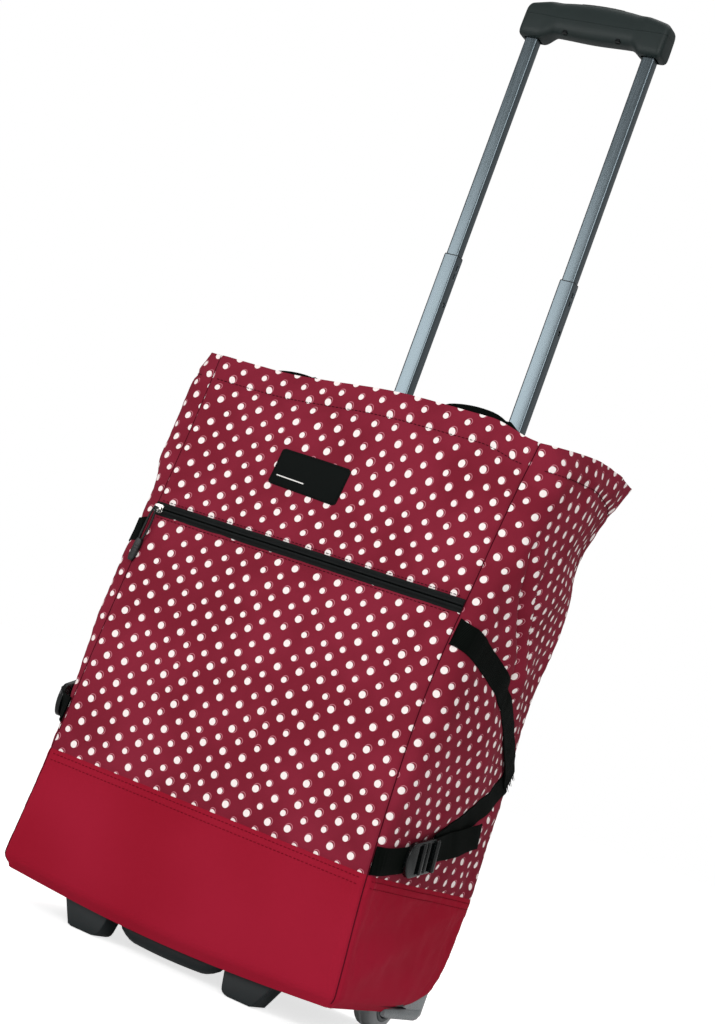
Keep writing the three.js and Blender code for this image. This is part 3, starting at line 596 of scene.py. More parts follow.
def pillow(back):
    """How full a side is at a distance back from the front seam: it swells out at once, then
    falls away slowly to the back seam."""
    fall = max(0.0, back - 85) / (DEPTH - 85)
    return (1 - math.exp(-back / 8)) * (1 - fall ** 1.5)


def top_rise(share, z):
    """The mouth of the bag climbs towards its back."""
    return BACK_RISE * share * max(0, z - RISE_FROM) / (MOUTH - RISE_FROM)


WALL_OUT = {"front": Vector((0, -1, 0)), "right": Vector((1, 0, 0)), "back": Vector((0, 1, 0)),
            "left": Vector((-1, 0, 0))}
WALL_TURN = ["front", "right", "back", "left"]


def outward(wall, a, width):
    """Which way the cloth stands out. At a corner seam it is halfway between the two walls."""
    place_in_turn = WALL_TURN.index(wall)
    before = WALL_OUT[WALL_TURN[place_in_turn - 1]]
    after = WALL_OUT[WALL_TURN[(place_in_turn + 1) % 4]]
    way = WALL_OUT[wall] + before * hump(a * width, 0, 7) + after * hump((1 - a) * width, 0, 7)
    return way.normalized()


def seam_relief(distance):
    """Cloth dips into a seam and swells beside it."""
    return -SEAM_DIP * hump(distance, 0, 2.6) + 0.9 * hump(distance, 9, 6)


def pucker(along, distance, seed):
    """Small puckers that run away from a seam's stitches."""
    away = math.exp(-distance / 16) * (1 - math.exp(-distance / 2.5))
    return 1.1 * away * noise.noise(Vector((along / 7, seed, distance / 30)))


def front_folds(x, z):
    """Soft folds of the front: the full pocket, waves at the mouth and slack near the base."""
    pocket = 2.2 * hump(z, 265, 75) * hump(x, 0, 130)
    slack = 2.2 * wrinkle(x, 0, z, 85, 3.1) * (0.3 + 0.7 * edge_step(z, BAND_TOP - 20, BAND_TOP + 30))
    drag = 1.6 * hump(x + 0.7 * (z - 60), 150, 16) * edge_step(z, 40, 70) * (1 - edge_step(z, 100, 145))
    drag += 1.4 * hump(x + 0.55 * (330 - z), 165, 12) * (1 - edge_step(abs(z - 330), 20, 60))
    mouth = 2.5 * edge_step(z, 480, 551) * math.sin(x / 38 + 0.6)
    return pocket + slack - drag + mouth


def side_folds(y, z, side):
    """Folds of a side: a deep crease runs down and back from the mouth to the upper strap, the
    cloth swells before and behind it, and the straps draw it in."""
    seed = 11.3 if side > 0 else 27.9
    crease_y = 32 + 100 * edge_step(-z, -460, -330)
    reach = edge_step(z, 322, 362) * (1 - edge_step(z, 440, 486))
    crease = -8 * reach * hump(y, crease_y, 7)
    swell = 4.0 * reach * (hump(y, crease_y - 24, 14) + 0.9 * hump(y, crease_y + 22, 13))
    second = -4 * edge_step(z, 350, 380) * (1 - edge_step(z, 420, 450)) * hump(y, crease_y + 38, 6)
    lean = 5 * hump(z, 275, 60) * hump(y, 120, 60) + 3 * hump(z, 210, 30) * hump(y, 200, 40)
    strap = min(distance_to(UPPER_STRAP, y, z), distance_to(LOWER_STRAP["right"], y, z))
    draw = -2.6 * hump(strap, 0, 13) + 1.8 * hump(strap, 24, 9)
    ridge = z - 45 - 0.4 * y
    base = 2.8 * (0.8 * hump(ridge, 34, 16) - hump(ridge, 4, 13)) * (1 - edge_step(z, 125, 150))
    slack = 2.6 * wrinkle(side * 50, y, z, 60, seed) + 1.2 * wrinkle(side * 50, y, z, 24, seed + 5)
    return crease + swell + second + lean + draw - base + slack


def back_folds(x, z):
    """The back is drawn flat by the tubes behind it, with slack between and beside them."""
    tubes = 1.6 * (hump(abs(x), 66, 10))
    return tubes - 1.5 * hump(x, 0, 50) + 2.0 * wrinkle(x, 99, z, 75, 7.7)


def mouth_wave(wall, a, z):
    """How much the free upper edge rises: a low hump right of the middle of the front."""
    near_top = edge_step(z, 440, 551)
    if wall == "front":
        return near_top * 10.5 * edge_step(a, 0.18, 0.62) * (1 - edge_step(a, 0.84, 1.0))
    if wall == "back":
        return near_top * 4 * math.sin(math.pi * a)
    return near_top * 7 * math.sin(math.pi * a)


CORNER_LEVELS = [30, 34, 50, 75, 100, 106]
CORNER_RADII = [42, 40, 27, 14, 1, 0]
corner_radius = through(CORNER_LEVELS, CORNER_RADII)
CLOTH_LOW = 34
LIP_RISE = 15
FRONT_DROP = 5.5
FRONT_SAG = 8.5


def rounded_corner(at):
    """Draws the lowest part of a rear corner in, so that it wraps round the wheel housing."""
    side = 1 if at.x > 0 else -1
    radius = corner_radius(at.z)
    if at.z > CORNER_LEVELS[-1] or radius < 1:
        return at
    half = half_back(at.z)
    dx, dy = abs(at.x) - (half - radius), at.y - (BACK_Y - radius)
    if dx <= 0 or dy <= 0:
        return at
    reach = math.hypot(dx, dy)
    square = max(dx, dy)
    kept = square / reach
    return Vector((side * (half - radius + dx * kept), BACK_Y - radius + dy * kept, at.z))


def hem_lift(wall, a, z):
    """The lower edge hangs over the base plate in front, and climbs at the rear corners, where the
    wheel housing's lip shows under it."""
    low = 1 - edge_step(z, CLOTH_LOW, CLOTH_LOW + 45)
    if wall == "front":
        return -low * (FRONT_DROP + FRONT_SAG * math.sin(math.pi * a))
    width = wall_width(wall, z)
    from_rear = (1 - a) * width if wall == "right" else a * width
    if wall == "back":
        return low * LIP_RISE * (1 - edge_step(min(a, 1 - a) * width, 0, 62))
    drop = FRONT_DROP * (1 - edge_step(width - from_rear, 130, 195))
    return low * (LIP_RISE * (1 - edge_step(from_rear, 0, 62)) - drop)


def wall_width(wall, z):
    if wall == "front":
        return 2 * half_front(z)
    return 2 * half_back(z) if wall == "back" else DEPTH


def cloth_point(wall, a, z, lift=0.0, cross_seams=()):
    """A point of the real cloth, lifted so many millimetres off it."""
    width = wall_width(wall, z)
    edge = min(a, 1 - a) * width
    inland = edge_step(edge, 0, 9)
    relief = seam_relief(edge) + pucker(z, edge, WALL_TURN.index(wall))
    for seam in cross_seams:
        relief += inland * (seam_relief(abs(z - seam)) * 0.7 + pucker(a * width, abs(z - seam), seam))
    hem_line = FRONT_TOP - HEM + 2
    relief += inland * (1.0 * edge_step(z, hem_line, hem_line + 3) - 1.6 * hump(z, hem_line, 3.2))
    free = edge_step(edge, 0, 22) * edge_step(z, CLOTH_LOW, CLOTH_LOW + 24)
    at = bare_wall(wall, a, z)
    if wall == "front":
        folds = front_folds(at.x, z)
    elif wall == "back":
        folds = back_folds(at.x, z)
    else:
        share = a if wall == "right" else 1 - a
        folds = side_folds(share * DEPTH, z, 1 if wall == "right" else -1)
    tuck = 9 * (1 - edge_step(z, CLOTH_LOW, CLOTH_LOW + 14)) ** 2
    at = rounded_corner(at)
    at.z += mouth_wave(wall, a, z) + hem_lift(wall, a, z)
    return at + outward(wall, a, width) * (relief + folds * free - tuck + lift)


def towards_seams(t):
    """Sets columns closer together near the two seams of a wall."""
    return t - 0.6 * math.sin(2 * math.pi * t) / (2 * math.pi)


def lengths_along(points, columns):
    """Each point's real distance along its row from the middle of the row."""
    measured = []
    for start in range(0, len(points), columns):
        row = points[start:start + columns]
        run = [0.0]
        for first, second in zip(row, row[1:]):
            run.append(run[-1] + (second - first).length)
        measured += [at - run[-1] / 2 for at in run]
    return measured


def panel(name, wall, z_low, z_high, materials, stands_for, seams=(), hem=0.0):
    """One cut panel of the bag: its outer face, then over its free edge and down inside."""
    columns = round(wall_width(wall, (z_low + z_high) / 2) / CELL) + 1
    rows = round((z_high - z_low) / CELL) + 1
    levels = [z_low + (z_high - z_low) * r / (rows - 1) for r in range(rows)]

    def along(r, c):
        return cloth_point(wall, towards_seams(c / (columns - 1)), levels[r], 0.0, seams)

    def inside(r, c):
        thick = CLOTH + (1.2 if hem and levels[r] > z_high - hem else 0)
        return cloth_point(wall, towards_seams(c / (columns - 1)), levels[r], -thick, seams)

    outer, faces = grid(rows, columns, along)
    inner, inner_faces = grid(rows, columns, inside)
    count = len(outer)
    marks = [0] * len(faces)
    for r, quad in enumerate(inner_faces):
        faces.append(tuple(count + i for i in reversed(quad)))
        in_hem = hem and levels[r // (columns - 1)] > z_high - hem
        marks.append(0 if in_hem else 1)
    rim = [c for c in range(columns)]
    rim += [r * columns + columns - 1 for r in range(1, rows)]
    rim += [(rows - 1) * columns + c for c in range(columns - 2, -1, -1)]
    rim += [r * columns for r in range(rows - 2, 0, -1)]
    for i, j in zip(rim, rim[1:] + rim[:1]):
        faces.append((j, i, count + i, count + j))
        marks.append(0)
    start = {"front": 0, "right": 360, "back": 596, "left": 950}[wall]
    across = lengths_along(outer, columns)
    uvs = [(start + across[i], levels[i // columns]) for i in range(count)] * 2
    made = piece_from(name, outer + inner, faces, materials, "chassis", stands_for, uvs, marks)
    return made


def build_bag():
    """The bag's nine outer panels, sewn edge to edge."""
    cloth = [PRINTED, LINING]
    band = [BAND, LINING]
    made = []
    made.append(panel("front_band_cloth", "front", BAG_LOW, BAND_TOP, band, ["band_front"],
                      (BAND_TOP,)))
    made.append(panel("pocket_cloth", "front", BAND_TOP, ZIP_LOW + 1, cloth,
                      ["pocket_panel"], (BAND_TOP, ZIP_LOW)))
    made.append(panel("upper_front_cloth", "front", ZIP_HIGH - 1, FRONT_TOP, cloth,
                      ["front_panel"], (ZIP_HIGH,), HEM))
    made.append(panel("back_band_cloth", "back", BAG_LOW, BAND_TOP, band, ["band_back"],
                      (BAND_TOP,)))
    made.append(panel("back_cloth", "back", BAND_TOP, FRONT_TOP, cloth, ["back_panel"],
                      (BAND_TOP,), HEM))
    for side in SIDES:
        made.append(panel(f"side_band_cloth_{side}", side, BAG_LOW, BAND_TOP, band,
                          [f"band_side_{side}"], (BAND_TOP,)))
        made.append(panel(f"side_cloth_{side}", side, BAND_TOP, FRONT_TOP, cloth,
                          [f"side_panel_{side}"], (BAND_TOP,), HEM))
    return made


# ---- stitches -------------------------------------------------------------------------------

STITCH = 3.2
STITCH_GAP = 1.0
THREAD_THICK = 0.7


def stitched(name, runs, material=THREAD, body="chassis"):
    """Rows of thread stitches. A run is a list of (point, out) pairs along a seam."""
    points, faces = [], []
    for run in runs:
        lengths = [0.0]
        for (first, _), (second, _) in zip(run, run[1:]):
            lengths.append(lengths[-1] + (second - first).length)
        at = 0.5
        while at + STITCH < lengths[-1]:
            ends = [on_run(run, lengths, at), on_run(run, lengths, at + STITCH)]
            add_stitch(points, faces, ends)
            at += STITCH + STITCH_GAP
    return piece_from(name, points, faces, [material], body)


def on_run(run, lengths, at):
    i = 0
    while lengths[i + 1] < at:
        i += 1
    t = (at - lengths[i]) / (lengths[i + 1] - lengths[i])
    return run[i][0].lerp(run[i + 1][0], t), run[i][1]


def add_stitch(points, faces, ends):
    """One stitch: a short thread that rises from its first hole and dives into its second."""
    (first, out), (second, _) = ends
    along = (second - first).normalized()
    across = along.cross(out).normalized()
    stations = []
    for t, lift, thick in ((0, -0.4, 0.5), (0.2, 0.1, 1), (0.8, 0.1, 1), (1, -0.4, 0.5)):
        centre = first.lerp(second, t) + out * lift
        stations.append((centre, across * thick, out * thick))
    made, quads = swept(stations, ellipse(THREAD_THICK, THREAD_THICK, 5))
    base = len(points)
    points.extend(made)
    faces.extend(tuple(base + i for i in quad) for quad in quads)


def level_run(wall, z, seams=(), lift=0.15, inset=0.02, steps=110):
    """A stitch run across a wall at one height."""
    spots = [inset + (1 - 2 * inset) * k / steps for k in range(steps + 1)]
    return [(cloth_point(wall, a, z, lift, seams), outward(wall, a, wall_width(wall, z))) for a in spots]


def upright_run(wall, a_at, z_low, z_high, seams=()):
    """A stitch run up a wall, at a given part of its width."""
    steps = round((z_high - z_low) / 3)
    heights = [z_low + (z_high - z_low) * k / steps for k in range(steps + 1)]
    return [(cloth_point(wall, a_at(z), z, 0.15, seams), outward(wall, a_at(z), wall_width(wall, z)))
            for z in heights]


def build_seam_cords():
    """A dark cord down each corner, where the two cloths are sewn and turned in; its dark red is painted
    shade, the shadow of the seam groove.
    """
    for wall in WALL_TURN:
        for low, high, slot in ((BAG_LOW + 4, BAND_TOP, "band_fabric"),
                                (BAND_TOP, FRONT_TOP - 1, "dotted_fabric")):
            run = upright_run(wall, lambda z: 1.0, low, high)
            stations = [(p - out * 0.1, out.cross(Vector((0, 0, 1))).normalized(), out) for p, out in run]
            points, faces = swept(stations, ellipse(1.1, 0.8, 8))
            piece_from(f"seam_{wall}_{slot}", points, faces, [SEAM_GROOVE_SHADE], "chassis", (),
                       [(p.x, p.z) for p in points])


def build_stitches():
    """The hem's row, the double row over the band and the rows by the zip."""
    stitched("hem_stitches", [level_run(wall, FRONT_TOP - HEM + 2, (), 0.9) for wall in WALL_TURN])
    band_rows = [level_run(wall, BAND_TOP - drop, (BAND_TOP,)) for wall in WALL_TURN for drop in (4, 10)]
    stitched("band_stitches", band_rows, BAND_THREAD)
    stitched("zip_stitches", [level_run("front", ZIP_HIGH + 2.2, (ZIP_HIGH,)),
                              level_run("front", ZIP_LOW - 2.2, (ZIP_LOW,))])


# ---- lining, floor and board ----------------------------------------------------------------

def build_inside():
    """What the open mouth shows: the cloth wall before the tubes, the pocket's back and the floor."""
    low, high = node_box("back_lining")
    half = (high.x - low.x) / 2

    def divider(r, c):
        x = -half * 0.86 + half * 1.72 * c / 70
        z = low.z + (high.z - low.z) * r / 70
        spread = 1 + 0.12 * edge_step(z, 300, 540)
        y = (low.y + high.y) / 2 + 1.2 * wrinkle(x, 7, z, 70, 1.7)
        return Vector((x * spread, y, z))

    sheet_piece("divider_cloth", 71, 71, divider, Vector((0, 1, 0)), [LINING],
                ["back_lining"])
    low, high = node_box("pocket_lining")
    half = (high.x - low.x) / 2

    def pocket_back(r, c):
        x = -half + 2 * half * c / 60
        z = low.z + (high.z - low.z) * r / 50
        return Vector((x, front_y(z) + 9.5 + 1.0 * wrinkle(x, 3, z, 60, 9.2), z))

    sheet_piece("pocket_back_cloth", 51, 61, pocket_back, Vector((0, 1, 0)), [LINING],
                ["pocket_lining"])
    low, high = node_box("bag_floor")

    # The rows step round the housings.
    def floor_cloth(r, c):
        x = low.x + 2 + (high.x - low.x - 4) * c / 50
        y = low.y + 1 + (112 - low.y) * r / 40
        y = min(y, HOUSING_FRONT - 2) if abs(x) > HOUSING_INNER - 2 else y
        return Vector((x, y, low.z + 0.8))

    sheet_piece("floor_cloth", 41, 51, floor_cloth, Vector((0, 0, 1)), [LINING],
                ["bag_floor"])
    low, high = node_box("base_board")
    piece_from_bmesh("floor_board", block(low, high, 0.8), [BOARD], "chassis", ["base_board"])


HOUSING_FRONT = node_box("wheel_housing_right")[0].y
HOUSING_INNER = node_box("wheel_housing_right")[0].x


def sheet_piece(name, rows, columns, point, out, materials, stands_for, thick=0.8):
    """A single cloth with two faces and a rim."""
    outer, faces = grid(rows, columns, point)
    inner = [p + out * thick for p in outer]
    count = len(outer)
    faces += [tuple(count + i for i in reversed(quad)) for quad in faces]
    rim = list(range(columns)) + [r * columns + columns - 1 for r in range(1, rows)]
    rim += [(rows - 1) * columns + c for c in range(columns - 2, -1, -1)]
    rim += [r * columns for r in range(rows - 2, 0, -1)]
    faces += [(j, i, count + i, count + j) for i, j in zip(rim, rim[1:] + rim[:1])]
    uvs = [(p.x, p.z + p.y) for p in outer] * 2
    made = piece_from(name, outer + inner, faces, materials, "chassis", stands_for, uvs)
    return made


# ---- zip, slider, puller and label ----------------------------------------------------------

def front_face(x, z, lift=0.0, seams=()):
    """A point on the front cloth at a given X and height."""
    return cloth_point("front", 0.5 + x / (2 * half_front(z)), z, lift, seams)


def zip_y(x):
    """The plain front under the zip, without its seams' dips."""
    return front_face(x, ZIP_Z).y


def build_zip():
    """Two tapes drawn over a hidden coil, so that the zip is two low ridges with a slit between."""
    half = node_box("zip_tape")[1].x + 1.5
    side = [(6.6, -0.6), (6.2, 0.1), (4.6, 0.3), (3.6, 0.6), (3.0, 1.35), (1.9, 1.8), (0.8, 1.6), (0.25, 0.9),
            (0.12, -0.2)]
    count = 240
    for name, way in (("zip_tape_upper", 1), ("zip_tape_lower", -1)):
        stations = []
        for i in range(count + 1):
            x = -half + 2 * half * i / count
            tooth = 1 + 0.06 * math.cos(math.pi * i)
            centre = Vector((x, zip_y(x) - 0.2, ZIP_Z))
            stations.append((centre, Vector((0, 0, way)), Vector((0, -tooth, 0))))
        points, faces = swept(stations, side)
        uvs = [(p.x, p.z) for p in points]
        stands_for = ["zip_tape"] if way > 0 else []
        piece_from(name, points, faces, [ZIP_CLOTH], "chassis", stands_for, uvs)


SLIDER_LEFT = 4.5
PULLER_SWING = math.radians(6)


def build_slider():
    """The slider's plate with its bridge, and the cord loop with a moulded end that pulls it."""
    low, high = node_box("zip_slider")
    x = (low.x + high.x) / 2 - SLIDER_LEFT
    face = high.y
    bar_y = low.y + 1.0
    outline = [(x - 5.2, ZIP_Z - 3.2), (x - 2.0, ZIP_Z - 4.4), (x + 3.6, ZIP_Z - 4.2), (x + 5.2, ZIP_Z - 2.4),
               (x + 4.4, ZIP_Z), (x + 5.2, ZIP_Z + 2.4), (x + 3.6, ZIP_Z + 4.2), (x - 2.0, ZIP_Z + 4.4),
               (x - 5.2, ZIP_Z + 3.2)]
    plate = pressed(outline, face - 1.9, face - 0.3, 0.4)
    bridge_route = [(-4.2, 2.6), (-4.0, 4.4), (-2.6, 5.6), (0, 6.0), (2.6, 5.6), (4.0, 4.4), (4.2, 2.6)]
    stations = [(Vector((x + dx, face - rise + 0.6, ZIP_Z)), Vector((0, 0, 1)),
                 Vector((dx / 6, -1, 0)).normalized())
                for dx, rise in bridge_route]
    points, faces = swept(stations, flat_section(2.4, 0.9, 0.25))
    shape = bmesh_from(points, faces)
    piece_from_bmesh("slider_body", joined(plate, shape), [NICKEL], "zip_slider", ["zip_slider"])
    stations = []
    steps = 40
    long_half = 19.0
    top = ZIP_Z + 1.2
    for k in range(steps):
        a = 2 * math.pi * k / steps
        straight = long_half * (1 if math.sin(a) < 0 else -1) * min(1.0, abs(math.sin(a)) * 1.0)
        spread = 2.7 * math.cos(a)
        centre = Vector((x + spread, bar_y - 0.4 - 1.0 * abs(math.sin(a)), top - long_half - 1.0 - straight))
        nxt = 2 * math.pi * (k + 1) / steps
        after = Vector((x + 2.7 * math.cos(nxt), centre.y, top - long_half - 1.0
                        - long_half * (1 if math.sin(nxt) < 0 else -1) * min(1.0, abs(math.sin(nxt)))))
        along = (after - centre).normalized()
        out = Vector((0, -1, 0))
        stations.append((centre, along.cross(out).normalized(), out))
    points, faces = swept(stations, ellipse(2.2, 2.2, 8), closed=True)
    end = [(x - 2.6, top - 34), (x + 2.6, top - 34), (x + 3.7, top - 39), (x + 3.7, top - 53),
           (x + 2.4, top - 57), (x - 2.4, top - 57), (x - 3.7, top - 53), (x - 3.7, top - 39)]
    tab = pressed(end, bar_y - 3.2, bar_y + 1.4, 1.1)
    ribs = [block((x - 3.2, bar_y - 3.7, top - 51 + 3 * k), (x + 3.2, bar_y - 3.0, top - 50 + 3 * k), 0.25)
            for k in range(4)]
    cord = joined(bmesh_from(points, faces), tab, *ribs)
    swung = Matrix.Rotation(PULLER_SWING, 3, "Y")
    bmesh.ops.rotate(cord, verts=cord.verts, cent=(x, bar_y, ZIP_Z), matrix=swung)
    piece_from_bmesh("puller_cord", cord, [CORD_RUBBER],
                     "zip_puller", ["zip_puller"])


def bmesh_from(points, faces):
    shape = bmesh.new()
    corners = [shape.verts.new(p) for p in points]
    for face in faces:
        shape.faces.new([corners[i] for i in face])
    return shape


LABEL_TILT = math.radians(-2.6)
LABEL_CORNER = 3.2


def build_label():
    """A black woven patch with round corners, sewn on all round, with one plain white line."""
    low, high = node_box("label_patch")
    middle = ((low.x + high.x) / 2, (low.z + high.z) / 2)
    wide, tall = high.x - low.x, high.z - low.z

    def on_label(u, v, lift):
        x = middle[0] + u * math.cos(LABEL_TILT) - v * math.sin(LABEL_TILT)
        z = middle[1] + u * math.sin(LABEL_TILT) + v * math.cos(LABEL_TILT)
        return front_face(x, z, lift)

    def corner_inset(v):
        """How far the rounded corners draw the patch in at a height above its middle."""
        from_end = tall / 2 - abs(v)
        short = LABEL_CORNER - min(from_end, LABEL_CORNER)
        return LABEL_CORNER - math.sqrt(max(0.0, LABEL_CORNER ** 2 - short ** 2))

    def top(r, c):
        v = -tall / 2 + tall * r / 24
        half = wide / 2 - corner_inset(v)
        u = -half + 2 * half * c / 44
        rim = min(tall / 2 - abs(v), half - abs(u))
        return on_label(u, v, 0.35 + 0.6 * edge_step(rim, 0, 0.8))

    points, faces = grid(25, 45, top)
    count = len(points)
    points += [p + Vector((0, 1.1, 0)) for p in points]
    rim = list(range(45)) + [r * 45 + 44 for r in range(1, 25)] + [24 * 45 + c for c in range(43, -1, -1)]
    rim += [r * 45 for r in range(23, 0, -1)]
    faces += [tuple(count + i for i in reversed(quad)) for quad in faces]
    faces += [(j, i, count + i, count + j) for i, j in zip(rim, rim[1:] + rim[:1])]
    patch = piece_from("label_patch_cloth", points, faces, [LABEL], "chassis",
                       ["label_patch"], [(p.x, p.z) for p in points])
    line = [(on_label(u, -tall / 2 + 9.5, 1.1), Vector((0, 0, 1)), Vector((0, -1, 0)))
            for u in [-wide / 2 + 6 + 31 * k / 12 for k in range(13)]]
    points, faces = swept(line, flat_section(1.1, 0.3, 0.1))
    piece_from("label_line", points, faces, [LABEL_LINE], "chassis", (),
               [(p.x, p.z) for p in points])
    border = rounded_rectangle(wide - 3, tall - 3, 2.4, 6)
    border.append(border[0])
    run = []
    for (u0, v0), (u1, v1) in zip(border, border[1:]):
        parts = max(1, round(math.hypot(u1 - u0, v1 - v0) / 3))
        run += [(on_label(u0 + (u1 - u0) * k / parts, v0 + (v1 - v0) * k / parts, 1.05), Vector((0, -1, 0)))
                for k in range(parts)]
    stitched("label_stitches", [run], LABEL)


# ---- side straps and buckles ----------------------------------------------------------------

def side_point(side, y, z, lift):
    """A point on a side, given its distance back from the front corner."""
    share = min(max(y / DEPTH, 0.004), 0.996)
    wall = side
    a = share if side == "right" else 1 - share
    return cloth_point(wall, a, z, lift)


def strap_stations(side, route, lift_at, step=4.0):
    """Stations along a strap that lies on the side cloth. lift_at gives its height off the cloth
    from the part of its length."""
    lengths = [0.0]
    for (y0, z0), (y1, z1) in zip(route, route[1:]):
        lengths.append(lengths[-1] + math.hypot(y1 - y0, z1 - z0))
    along_y = through(lengths, [p[0] for p in route])
    along_z = through(lengths, [p[1] for p in route])
    count = max(2, round(lengths[-1] / step))
    stations = []
    for i in range(count + 1):
        d = lengths[-1] * i / count
        y, z = along_y(d), along_z(d)
        y2, z2 = along_y(d + 0.5), along_z(d + 0.5)
        run = math.hypot(y2 - y, z2 - z)
        ny, nz = -(z2 - z) / run, (y2 - y) / run
        lift = lift_at(i / count)
        edges = [side_point(side, y + s * ny * WEB / 2, z + s * nz * WEB / 2, lift) for s in (-1, 1)]
        middle = side_point(side, y, z, lift)
        base = (edges[0] + edges[1]) / 2
        centre = base.lerp(middle, 0.5)
        across = (edges[1] - edges[0]).normalized()
        ahead = side_point(side, y2, z2, lift) - middle
        out = ahead.cross(across).normalized()
        if out.x * SIDES[side] < 0:
            out = -out
        stations.append((centre, across, out))
    return stations, lengths[-1]


def strap_piece(name, stations, length, stands_for, thick=WEB_THICK, width=WEB):
    section = flat_section(width, thick, 0.45)
    points, faces = swept(stations, section)
    count = len(stations)
    uvs = [(length * i / (count - 1), s) for i in range(count) for s, _ in section]
    return piece_from(name, points, faces, [WEBBING], "chassis", stands_for, uvs)


def fray(name, station, reach):
    """Loose threads at a cut end."""
    centre, across, out = station
    down = across.cross(out).normalized()
    if down.z > 0:
        down = -down
    points, faces = [], []
    for k in range(11):
        s = (k / 10 - 0.5) * (WEB - 2)
        long_end = reach * (0.45 + 0.55 * abs(math.sin(k * 2.3)))
        swing = across * (1.2 * math.sin(k * 1.7)) + out * (0.6 * math.cos(k * 3.1))
        route = [centre + across * s, centre + across * s + down * long_end * 0.5 + swing * 0.4,
                 centre + across * s + down * long_end + swing]
        made, quads = swept([(p, across * w, out * w) for p, w in zip(route, (1, 0.8, 0.3))],
                            ellipse(1.1, 0.8, 5))
        base = len(points)
        points += made
        faces += [tuple(base + i for i in quad) for quad in quads]
    piece_from(name, points, faces, [WEBBING], "chassis", (), [(p.y, p.z) for p in points])


def build_straps():
    for side in SIDES:
        upper, length = strap_stations(side, UPPER_STRAP, lambda t: 1.3 + 3.2 * edge_step(t, 0.6, 0.96))
        strap_piece(f"upper_strap_{side}", upper, length, [f"strap_upper_{side}"])
        fray(f"upper_strap_fray_{side}", upper[-1], 7)
        off = BUCKLE_LIFT[side]
        lower, length = strap_stations(side, LOWER_STRAP[side],
                                       lambda t: 1.4 + (2.6 + 0.5 * off) * edge_step(t, 0.75, 1.0))
        strap_piece(f"lower_strap_{side}", lower, length, [f"strap_lower_{side}"])
        anchor, length = strap_stations(side, ANCHOR_STRAP[side],
                                        lambda t: 1.3 + (2.4 + 1.3 * off) * edge_step(t, 0.2, 1.0))
        strap_piece(f"anchor_strap_{side}", anchor, length, [f"strap_anchor_{side}"])
        tail, length = strap_stations(side, TAIL_STRAP[side],
                                      lambda t: 4.8 + (2.6 + 0.5 * off) * (1 - edge_step(t, 0.0, 0.5)))
        strap_piece(f"strap_tail_{side}", tail, length, ())
        build_buckle(side)


def build_buckle(side):
    """A moulded ladder lock: a round tongue in front, two slots with a bar, and a ribbed lip."""
    sign = SIDES[side]
    anchor = side_point(side, *BUCKLE_AT[side], 0.0) + Vector((sign * BUCKLE_LIFT[side], 0, 0))
    half = WEB / 2 + 3.6
    tongue = [(-26 + 12 - 12 * math.cos(a), half * math.sin(a)) for a in
              [math.pi / 2 - math.pi * k / 14 for k in range(15)]]
    outline = [(16, half), *tongue, (16, -half), (18, -half + 2), (18, half - 2)]
    outline = [(26 if u > 15.9 else u, v) for u, v in outline[:-2]]
    shape = bmesh.new()
    base = shape.faces.new([shape.verts.new((u, v, 2.2)) for u, v in outline])
    pushed = bmesh.ops.extrude_face_region(shape, geom=[base])["geom"]
    bmesh.ops.translate(shape, vec=(0, 0, 5), verts=vertices_in(pushed))
    bmesh.ops.recalc_face_normals(shape, faces=shape.faces)
    bmesh.ops.bevel(shape, geom=shape.edges[:], offset=1.1, segments=3, affect="EDGES", profile=0.5)
    slot_half = WEB / 2 + 0.6
    ridge = block((-2.4, -slot_half - 1, 5.5), (2.4, slot_half + 1, 9.4), 1.3, 3)
    lip = block((21.5, -half + 0.6, 3.0), (26.5, half - 0.6, 10.2), 1.6, 3)
    rear_bar = block((8.0, -slot_half - 1, 4.6), (12.0, slot_half + 1, 8.6), 1.3, 3)
    made = piece_from_bmesh(f"buckle_{side}", shape, [BUCKLE_PLASTIC], "chassis",
                            [f"ladder_lock_{side}"])
    carve(made, block((-8.6, -slot_half, 0), (-2.6, slot_half, 12), 0.5),
          block((13.0, -slot_half, 0), (20.5, slot_half, 12), 0.5))
    extra = piece_from_bmesh(f"buckle_bars_{side}", joined(ridge, lip, rear_bar), [BUCKLE_PLASTIC], "chassis")
    turn = Matrix.Rotation(BUCKLE_YAW[side], 4, "Y") @ Matrix.Rotation(BUCKLE_TILT, 4, "Z")
    to_side = Matrix(((0, 0, sign, 0), (1, 0, 0, 0), (0, 1, 0, 0), (0, 0, 0, 1)))
    for part in (made, extra):
        part.data.transform(Matrix.Translation(anchor * MM) @ to_side @ turn)
        if sign < 0:
            part.data.flip_normals()
        part.data.update()


# ---- telescopic handle ----------------------------------------------------------------------

def hollow_tube(name, node_name, body, wall, radius=2.2):
    """A rounded rectangular tube with eased rims."""
    low, high = node_box(node_name)
    wide, deep = high.x - low.x, high.y - low.y
    middle = Vector(((low.x + high.x) / 2, (low.y + high.y) / 2, 0))
    outer = rounded_rectangle(wide, deep, radius)
    eased = rounded_rectangle(wide - 0.5, deep - 0.5, radius - 0.2)
    inner = rounded_rectangle(wide - 2 * wall, deep - 2 * wall, max(radius - wall, 0.4))
    levels = [(eased, low.z), (outer, low.z + 0.3), (outer, high.z - 0.3),
              (eased, high.z), (inner, high.z - 0.1), (inner, low.z + 0.1)]
    points = [middle + Vector((x, y, z)) for ring, z in levels for x, y in ring]
    size = len(outer)
    faces = []
    for i in range(len(levels)):
        j = (i + 1) % len(levels)
        for k in range(size):
            m = (k + 1) % size
            faces.append((i * size + k, i * size + m, j * size + m, j * size + k))
    return piece_from(name, points, faces, [TUBE_METAL], body, [node_name], sharp=30)


